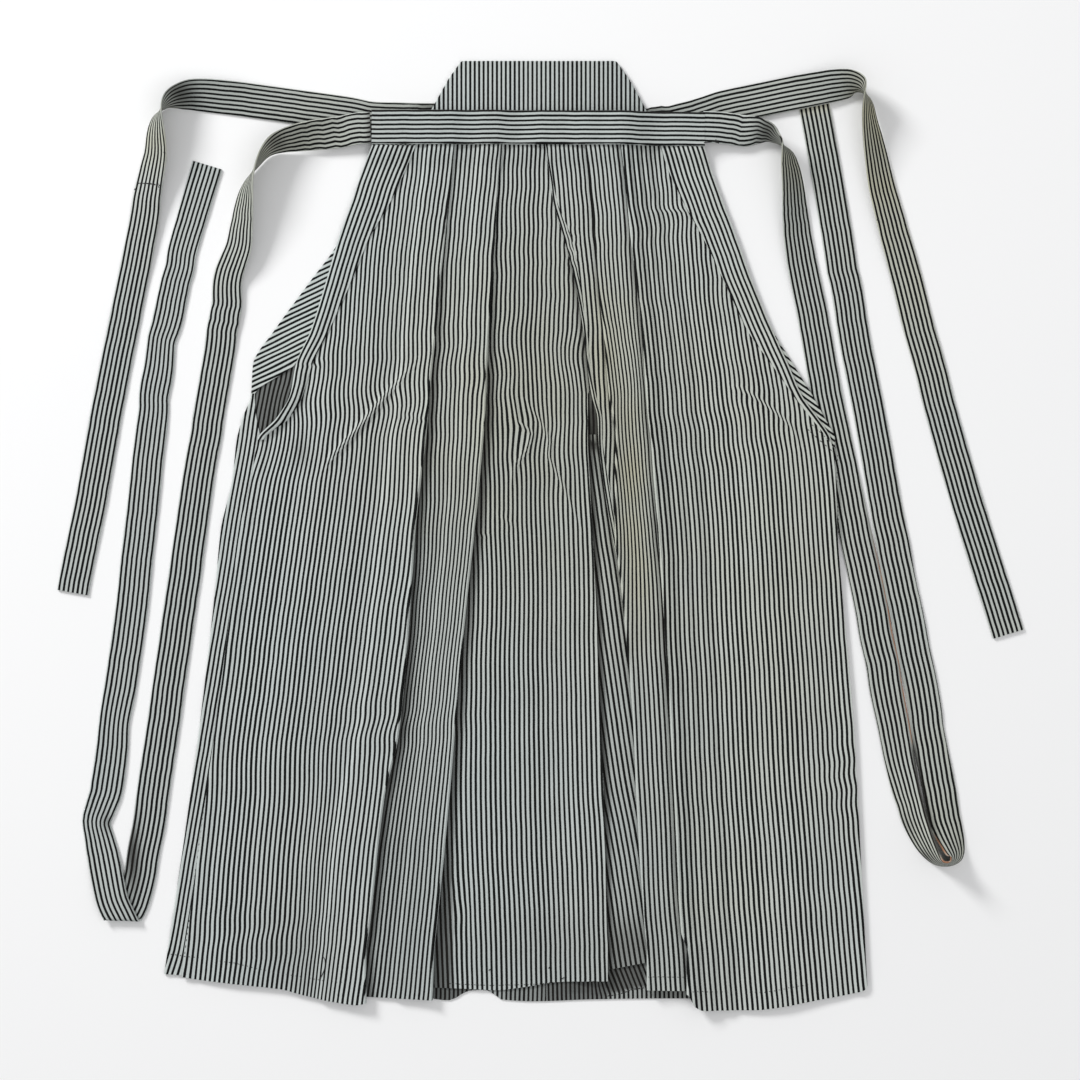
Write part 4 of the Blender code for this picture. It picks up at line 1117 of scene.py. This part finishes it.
def tape_rows(stations, thick, seed, width, bars=(8, 8), stain=NONE, shade=NONE, bare=NONE,
              inner_dark=NONE, slide=NONE, ruffle=NONE, crumple=0.0, calm=(0, 0), edge_shade=0.0,
              sides=7):
    """A folded tape through its stations: a flat ring with round edges, and its stripes' u.

    slide moves the bars off the middle, ruffle swings them by a twist and bare is the worn edge;
    the edge where two straps nearly touch gets painted shade from its own table, and calm is the
    length at either end where the stripes run straight.
    """
    ring = tape_ring(sides)
    size, long, wide = RIPPLE
    total = sum((b[0] - a[0]).length for a, b in zip(stations, stations[1:])) / MM
    rows = []
    along = 0.0
    before = stations[0][0]
    for centre, beside, face in stations:
        along += (centre - before).length / MM
        before = centre
        half = lookup(width, along) / 2
        (fine_up, start_up), (fine_low, start_low) = (bar_places(n, 2 * half) for n in bars)
        wander = uneven(TAPE_DRIFT, along, seed)
        wander += crumple * uneven(CRUMPLE_DRIFT, along, seed) * ramp(along, *CRUMPLED)
        wander += lookup(ruffle, along) * uneven(RUFFLE_DRIFT, along, seed)
        for place, length in zip((along, total - along), calm):
            wander *= ramp(place, 0.0, length) if length else 1.0
        gathered = crumple * (0.5 + uneven(GATHER_DRIFT, along, seed)) * ramp(along, *GATHERED)
        turned = STRIPE * round((half * (fine_up + fine_low) + start_up - start_low) / STRIPE)
        torn = lookup(bare, along) * (uneven(TORN_DRIFT, along, seed) + 1.0)
        row = []
        for share, inset, above, way in ring:
            aside = share * (half - thick * inset)
            ripple = size * noise.noise(Vector((along / long, aside / wide, seed)))
            height = above * thick * (1.0 + ripple)
            u = aside - lookup(slide, along)
            if way == 0:
                u = u * fine_up + start_up
            else:
                u = -u * fine_low + start_low + turned + (0.5 if way == 3 else 0.0)
            reach = aside * (1.0 - gathered) if aside > 0 else aside
            place = centre + beside * reach * MM + face * height * MM
            x, y = place.x / MM - CENTRE_SHIFT, LENGTH / 2 - place.y / MM
            # painted shade and painted shadows on the tape: along it, at the band's edge, where
            # straps nearly touch, and in patches
            dark = max(lookup(shade, along), edge_shade * ramp(share, *EDGE_DARK),
                       lookup(inner_dark, along) if share < -EDGE_DARK[0] else 0.0,
                       *(patch[4] * hump(x, y, patch) for patch in TIE_SHADOWS
                         if near(x, y, patch, SHADOW_END)))
            row.append((place, u + wander, along, lookup(stain, along), dark,
                        min(1.0, torn) if share < -BARE_FROM else 0.0))
        rows.append(row)
    return rows


def band_stations():
    """The band lies over the pleats' top edges and follows their height."""
    tops = [(across, height) for down in BAND_ROWS
            for profile in (front_left, front_right)
            for _, across, height, _, _ in profile(section(down))]
    stations = []
    for across in spread(BAND_LEFT, BAND_RIGHT, 120):
        under = 0.0
        for shift in spread(-BAND_EVENED, BAND_EVENED, 7):
            close = [height for place, height in tops if abs(place - across - shift) <= BAND_NEAR]
            under += max(close, default=BAND_LEAST) / 7
        sag = uneven(BAND_DRIFT, across, BAND_SEED) * ramp(BAND_RIGHT - across, 0, 30)
        centre = world(across, lookup(BAND_LINE, across) + sag,
                       under + CLOTH / 2 + BAND_GAP + BAND_THICK / 2)
        stations.append((centre, Vector((0.0, 1.0, 0.0)), UP))
    return stations


# ---------- cloth finish
PALE = ((0.545, 0.592, 0.580), (0.594, 0.614, 0.577))
PALE_THIN = (0.38, 0.40, 0.38)
DARK = (0.0035, 0.0042, 0.0040)
DARK_WORN = (0.0135, 0.0150, 0.0142)
YELLOWED = (0.540, 0.505, 0.310)
BARE = (0.420, 0.215, 0.130)
IN_SHADE = (0.0135, 0.0120, 0.0105)
DARK_SHARE = 0.495          # of each repeat
YARNS = (0.00052, 0.00060)  # from one yarn to the next, in metres


def plain_material(name, colour, roughness):
    material = bpy.data.materials.new(name)
    material.use_nodes = True
    inputs = material.node_tree.nodes["Principled BSDF"].inputs
    inputs["Base Color"].default_value = (*colour, 1.0)
    inputs["Roughness"].default_value = roughness
    return material


def striped_cloth(name, phase=0.0, tone=1.0):
    """Striped cotton; phase shifts the stripes by a share of the repeat, tone dims the pale."""
    material = plain_material(name, PALE[0], 0.8)
    nodes, links = material.node_tree.nodes, material.node_tree.links

    def feed(node, values):
        for title, value in values.items():
            if isinstance(value, bpy.types.NodeSocket):
                links.new(value, node.inputs[title])
            else:
                node.inputs[title].default_value = ((*value, 1.0) if isinstance(value, tuple)
                                                    else value)

    def add(kind, output, values, **settings):
        node = nodes.new("ShaderNode" + kind)
        for title, value in settings.items():
            setattr(node, title, value)
        feed(node, values)
        return node.outputs[output]

    def maths(kind, *values, clamp=False):
        return add("Math", 0, dict(enumerate(values)), operation=kind, use_clamp=clamp)

    def times(first, second, clamp=False):
        return maths("MULTIPLY", first, second, clamp=clamp)

    def plus(first, second):
        return maths("ADD", first, second)

    def minus(first, second):
        return maths("SUBTRACT", first, second)

    def blotches(vector, scale, detail=3.0, roughness=0.5):
        return add("TexNoise", "Fac", {"Vector": vector, "Scale": scale, "Detail": detail,
                                       "Roughness": roughness})

    def mix(share, first, second):
        return add("Mix", 2, {0: share, 6: first, 7: second}, data_type="RGBA")

    def painted(title):
        return add("Attribute", "Fac", {}, attribute_name=title)

    def stretched(wide, long):
        """Fine blotches along the yarns, this many to a metre."""
        vector = add("CombineXYZ", 0, {"X": times(u, wide), "Y": times(v, long)})
        return blotches(vector, 1.0, 2.0)

    uv = add("UVMap", "UV", {}, uv_map="cloth")
    parts = add("SeparateXYZ", "X", {0: uv}).node
    u, v = parts.outputs["X"], parts.outputs["Y"]
    place = nodes.new("ShaderNodeTexCoord").outputs["Object"]

    # stripes: a soft-edged dark bar in each repeat, its edges broken by the threads
    fray = times(minus(stretched(900.0, 500.0), 0.5), 0.09)
    turns = plus(plus(times(u, 1000.0 / STRIPE), phase + 100.0), fray)
    off_middle = maths("ABSOLUTE", minus(maths("FRACT", turns), 0.5))
    each = add("TexWhiteNoise", "Value", {"W": maths("FLOOR", turns)}, noise_dimensions="1D")
    width = plus(times(each, 0.05), DARK_SHARE / 2 + 0.01)
    bar = maths("DIVIDE", minus(width, off_middle), 0.07, clamp=True)

    # pale yarn: cool and warm drifts and yellowing, then painted shade in the folds, recesses and
    # gaps
    fine = blotches(place, 60.0)
    pale = mix(times(minus(blotches(place, 5.0, 4.0), 0.35), 1.6, clamp=True),
               *(tuple(c * tone for c in colour) for colour in PALE))
    stain = plus(times(blotches(place, 22.0), 1.4), 0.3)
    pale = mix(times(painted("stain"), stain, clamp=True), pale, YELLOWED)
    pale = mix(times(minus(fine, 0.45), 0.4, clamp=True), pale, PALE_THIN)
    colour = mix(bar, pale, mix(times(fine, 0.5), DARK, DARK_WORN))
    # painted shade: the shade attribute darkens the colour towards IN_SHADE
    colour = mix(times(painted("shade"), 0.9), colour, IN_SHADE)
    colour = mix(painted("raw_edge"), colour, BARE)

    # plain weave, with slubs along the yarn
    weave = times(*(maths("SINE", times(axis, 2 * math.pi / yarn))
                    for axis, yarn in zip((u, v), YARNS)))
    weave = plus(weave, times(stretched(700.0, 60.0), 1.5))
    bump = add("Bump", "Normal", {"Strength": 0.35, "Distance": 0.00012, "Height": weave})
    crumple = add("Bump", "Normal", {"Strength": 0.5, "Distance": 0.0012, "Normal": bump,
                                     "Height": blotches(place, 38.0, 4.0, 0.55)})
    feed(nodes["Principled BSDF"], {
        "Base Color": colour, "Roughness": plus(times(fine, 0.12), 0.78), "Normal": crumple,
        "Sheen Weight": 0.02, "Sheen Roughness": 0.5, "Specular IOR Level": 0.08})
    return material


# ---------- the garment
def build_garment():
    cloth = striped_cloth("striped_cotton")
    tape = striped_cloth("striped_tape", tone=0.88)
    rows = section_rows(BAND_TOP + 4.0)
    leg_rows = section_rows(INNER_TOP, LAST_ROW, 5.0)
    for name, node, points, flat, area, held in (
            ("front_left_cloth", "front_panel_left", panel_rows(rows, front_left),
             (620, 985), 0.50, "folded"),
            ("front_right_cloth", "front_panel_right", panel_rows(rows, front_right),
             (560, 985), 0.48, "folded"),
            ("facing_left_cloth", "front_facing_left", facing_rows(-1), (48, 330), 0.009, "laid"),
            ("facing_right_cloth", "front_facing_right", facing_rows(1), (48, 330), 0.009, "laid"),
            ("back_panel_left_cloth", "back_panel_left", back_panel(-1),
             (440, 915), 0.30, "laid"),
            ("back_panel_right_cloth", "back_panel_right", back_panel(1),
             (440, 915), 0.30, "laid"),
            ("inner_leg_cloth", "inner_leg", panel_rows(leg_rows, inner_leg),
             (140, 565), 0.055, "laid")):
        piece = grid_object(name, points)
        give_thickness(piece)
        dress(piece, node, cloth)

    out, back = tie_stations(FRONT_TIE_LEFT_OUT), tie_stations(FRONT_TIE_LEFT_BACK)
    for node, stations in (
            ("front_tie_left", [*out[:-1], *folded_back(out[-1], back[0]), *back[1:]]),
            ("front_tie_right", tie_stations(FRONT_TIE_RIGHT)),
            ("back_tie_left", tie_stations(BACK_TIE_LEFT)),
            ("back_tie_right", tie_stations(BACK_TIE_RIGHT))):
        rows = tape_rows(stations, TIE_THICK, **TIES[node])
        dress(grid_object(node + "_tape", rows, closed=True), node, tape)
    width = BAND_BOTTOM - BAND_TOP
    rows = tape_rows(band_stations(), BAND_THICK, 5.0, ((0, width), (360, width - 0.6)),
                     calm=(0, 30), edge_shade=0.8, sides=13)
    dress(grid_object("front_band_tape", rows, closed=True), "front_band", tape)
    cover_board(striped_cloth("board_cotton", phase=0.4, tone=0.9))


# ---------- back board
BOARD_TOP_WIDTH = 170.0
BOARD_LOW_WIDTH = 228.0
BOARD_SLANT = 52.0
BOARD_HEIGHT = 83.5
BOARD_THICK = 5.0
BOARD_SHIFT = -2.9
BOARD_LEAN = math.atan2((BOARD_LOW_WIDTH - BOARD_TOP_WIDTH) / 2, BOARD_SLANT)
# cuts at each upper corner: (inwards, below the top, angle)
BOARD_CUTS = ((0.0, 0.0, BOARD_LEAN), (3.0, 0.0, 0.62), (1.0, 1.4, 0.95), (4.5, 0.0, 1.25))


def cover_board(material):
    """A stiff board under tight cloth: a slab with its sides cut to the slant, edges rounded."""
    bpy.ops.object.select_all(action="DESELECT")
    middle = world(BOARD_SHIFT, BOARD_HEIGHT / 2, BOARD_THICK / 2)
    bpy.ops.mesh.primitive_cube_add(size=1.0, location=middle)
    board = bpy.context.active_object
    board.name = "back_board_cover"
    board.scale = Vector((BOARD_LOW_WIDTH, BOARD_HEIGHT, BOARD_THICK)) * MM
    bpy.ops.object.transform_apply(location=True, rotation=True, scale=True)
    bpy.ops.object.mode_set(mode="EDIT")
    for side in SIDES:
        corner = BOARD_SHIFT + side * BOARD_TOP_WIDTH / 2
        for inward, below, angle in BOARD_CUTS:
            bpy.ops.mesh.select_all(action="SELECT")
            bpy.ops.mesh.bisect(plane_co=world(corner - side * inward, below, 0.0),
                                plane_no=(side * math.cos(angle), math.sin(angle), 0.0),
                                use_fill=True, clear_outer=True)
    bpy.ops.mesh.select_all(action="SELECT")
    bpy.ops.mesh.remove_doubles(threshold=0.00001)
    bpy.ops.mesh.normals_make_consistent(inside=False)
    bpy.ops.object.mode_set(mode="OBJECT")
    corners = board.modifiers.new("corners", "BEVEL")
    corners.width = 1.3 * MM
    corners.segments = 3
    corners.limit_method = "ANGLE"
    corners.angle_limit = math.radians(30.0)
    apply_all(board)
    bpy.ops.object.shade_smooth_by_angle(angle=math.radians(40.0))
    uv = board.data.uv_layers[0]
    uv.name = "cloth"
    for loop in board.data.loops:
        place = board.data.vertices[loop.vertex_index].co
        uv.data[loop.index].uv = (place.x, -place.y)
    cover(board, "back_board", material)


# ---------- sewing
# rows of stitches: (across, down) along each row, then stitch length, gap and thread width
HEM_STITCHES = (
    (((-392, 946), (-367, 949), (-325, 955), (-283, 965), (-234, 973), (-194, 977)), 1.6, 3.2,
     1.0),
    (((-97, 977), (-54, 979), (-15, 978), (20, 975), (69, 974)), 1.7, 1.6, 0.9),
    (((71, 990.5), (84, 988), (96, 983.5), (111, 981.5)), 2.6, 1.1, 1.5),
    (((113, 969), (152, 969)), 1.3, 1.3, 1.0),
    (((160, 984), (235, 986), (290, 976)), 1.3, 3.8, 0.9),
)
SEAM_STITCHES = (
    (((-354.5, 769), (-366, 854), (-378, 947)), 2.0, 4.8, 0.9),
    (((282.5, 391), (296, 403), (309, 415)), 2.0, 1.5, 1.3),
    (((287, 386), (300, 398), (312.5, 410.5)), 1.6, 1.8, 1.1),
    (((313.5, 418), (313.0, 450), (315.0, 500), (317, 530)), 1.6, 2.9, 0.9),
    (((-427, 129.5), (-414, 130.5), (-400.5, 133)), 2.8, 0.7, 1.9),
    (((-405, 131), (-403, 139)), 1.8, 1.6, 1.4),
)
THREAD_ENDS = (
    ((-232, 946), (-229, 951), (-228.5, 958), (-231, 965), (-234, 971)), ((-56, 963), (-54, 962)),
    ((7.5, 961), (8.5, 959.5)), ((21.5, 972), (24, 970.5)),
    ((171.5, 87.5), (175, 88.5), (180, 86.5)), ((174, 90), (178.5, 91.5)),
    ((184, 84), (186.5, 86.5), (185, 88.5)),
)
TACKS = (
    (-397, 99), (-430, 136), (-402, 160), (-439, 175), (355.5, 169), (391.7, 188), (185.6, 85.9),
    (186.6, 86.9), (184.4, 86.4),
)
ABOVE_ALL = 90.0
SLIP_REACH = 7.0            # over what length stitches slip aside
STITCH_DRIFT = ((3, 3, 5.0, 0.5),)
STITCH_RISE = 0.45
SUNK = 0.2                  # a thread's edges lie this far in the cloth


def top_of_cloth(trees, across, down):
    """Height in mm of the cloth that lies uppermost at a point."""
    start = world(across, down, ABOVE_ALL)
    hits = [tree.ray_cast(start, -UP)[0] for tree in trees]
    return max((hit.z / MM for hit in hits if hit), default=None)


def along_row(points, step):
    """Places every `step` mm along a row of points, with the row's direction."""
    left = 0.0
    for (x0, y0), (x1, y1) in zip(points, points[1:]):
        reach = math.dist((x0, y0), (x1, y1))
        right, below = (x1 - x0) / reach, (y1 - y0) / reach
        while left <= reach:
            yield x0 + right * left, y0 + below * left, right, below
            left += step
        left -= reach


def stitch(vertices, faces, ends, width, rise):
    """A short raised length of thread: a low ridge between two (across, down, height) ends."""
    (x0, y0, _), (x1, y1, _) = ends
    half = width / 2 / math.hypot(x1 - x0, y1 - y0)
    right, below = -(y1 - y0) * half, (x1 - x0) * half
    first = len(vertices)
    for x, y, z in ends:
        for way, height in ((-1, -SUNK), (0, rise), (1, -SUNK)):
            vertices.append(world(x + way * right, y + way * below, z + height))
    for corners in ((0, 1, 4, 3), (1, 2, 5, 4), (2, 0, 3, 5), (0, 2, 1), (3, 4, 5)):
        faces.append([first + corner for corner in corners])


def thread_piece(name, ends, colour):
    """One piece from many stitches given as (ends, width, rise)."""
    vertices, faces = [], []
    for pair, width, rise in ends:
        stitch(vertices, faces, pair, width, rise)
    mesh = bpy.data.meshes.new(name)
    mesh.from_pydata(vertices, [], faces)
    shell = bmesh.new()
    shell.from_mesh(mesh)
    bmesh.ops.recalc_face_normals(shell, faces=shell.faces)
    shell.to_mesh(mesh)
    shell.free()
    mesh.materials.append(plain_material(name, colour, 0.85))
    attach(new_object(name, mesh), "root")


def sew():
    """Stitches, loose thread ends and tacks, laid on the finished cloth."""
    shapes = bpy.context.evaluated_depsgraph_get()
    trees = [BVHTree.FromObject(piece, shapes) for piece in CLOTH_PIECES]

    def on_cloth(rows, slips):
        found = []
        for points, length, gap, width in rows:
            for x, y, dx, dy in along_row(points, length + gap):
                slip = uneven(((SLIP_REACH, SLIP_REACH, 1.0, slips),), x, y)
                long = length * (1.0 + uneven(STITCH_DRIFT, x, y)) / 2
                x, y = x - dy * slip, y + dx * slip
                ends = [(x + way * dx * long, y + way * dy * long) for way in (-1, 1)]
                heights = [top_of_cloth(trees, *end) for end in ends]
                if None not in heights:
                    pair = [(*end, height) for end, height in zip(ends, heights)]
                    found.append((pair, width, STITCH_RISE))
        return found

    thread_piece("hem_stitches", on_cloth(HEM_STITCHES, 0.5), (0.022, 0.021, 0.020))
    thread_piece("seam_stitches", on_cloth(SEAM_STITCHES, 0.4), (0.014, 0.014, 0.014))
    bits = []
    for points in THREAD_ENDS:
        heights = [top_of_cloth(trees, *point) for point in points]
        ends = [(*point, height + 0.2) for point, height in zip(points, heights) if height]
        bits += [(pair, 1.0, 0.6) for pair in zip(ends, ends[1:])]
    for x, y in TACKS:
        height = top_of_cloth(trees, x, y)
        if height:
            bits.append((((x - 1.1, y - 0.5, height), (x + 1.1, y + 0.4, height)), 2.0, 0.8))
    thread_piece("thread_ends", bits, (0.010, 0.010, 0.010))


# ---------- floor, light and camera
def build_stage():
    bpy.ops.object.select_all(action="DESELECT")
    bpy.ops.mesh.primitive_plane_add(size=8.0, location=(0.0, 0.0, -0.0004))
    floor = bpy.context.active_object
    floor.name = "studio_floor"
    floor.data.materials.append(plain_material("white_paper", (0.93, 0.93, 0.93), 0.9))

    room = bpy.data.worlds.new("soft_room")
    room.use_nodes = True
    light = room.node_tree.nodes["Background"].inputs
    light["Color"].default_value = (0.985, 0.99, 1.0, 1.0)
    light["Strength"].default_value = 0.50
    scene = bpy.context.scene
    scene.world = room

    for name, place, size, power in (("window", (-3.3, 3.3, 2.5), 1.4, 222.0),
                                     ("fill", (1.2, -0.6, 3.0), 2.5, 18.0)):
        lamp = bpy.data.lights.new(name, "AREA")
        lamp.size = size
        lamp.energy = power
        holder = new_object(name, lamp)
        holder.location = place
        holder.rotation_euler = (-Vector(place)).to_track_quat("-Z", "Y").to_euler()

    lens = bpy.data.cameras.new("camera")
    lens.lens = 100.0
    lens.sensor_width = 36.0
    scene.camera = new_object("camera", lens)
    scene.camera.location = (-0.00095, -0.0047, 3.18)
    scene.view_settings.view_transform = "Standard"


build_garment()
sew()
build_stage()
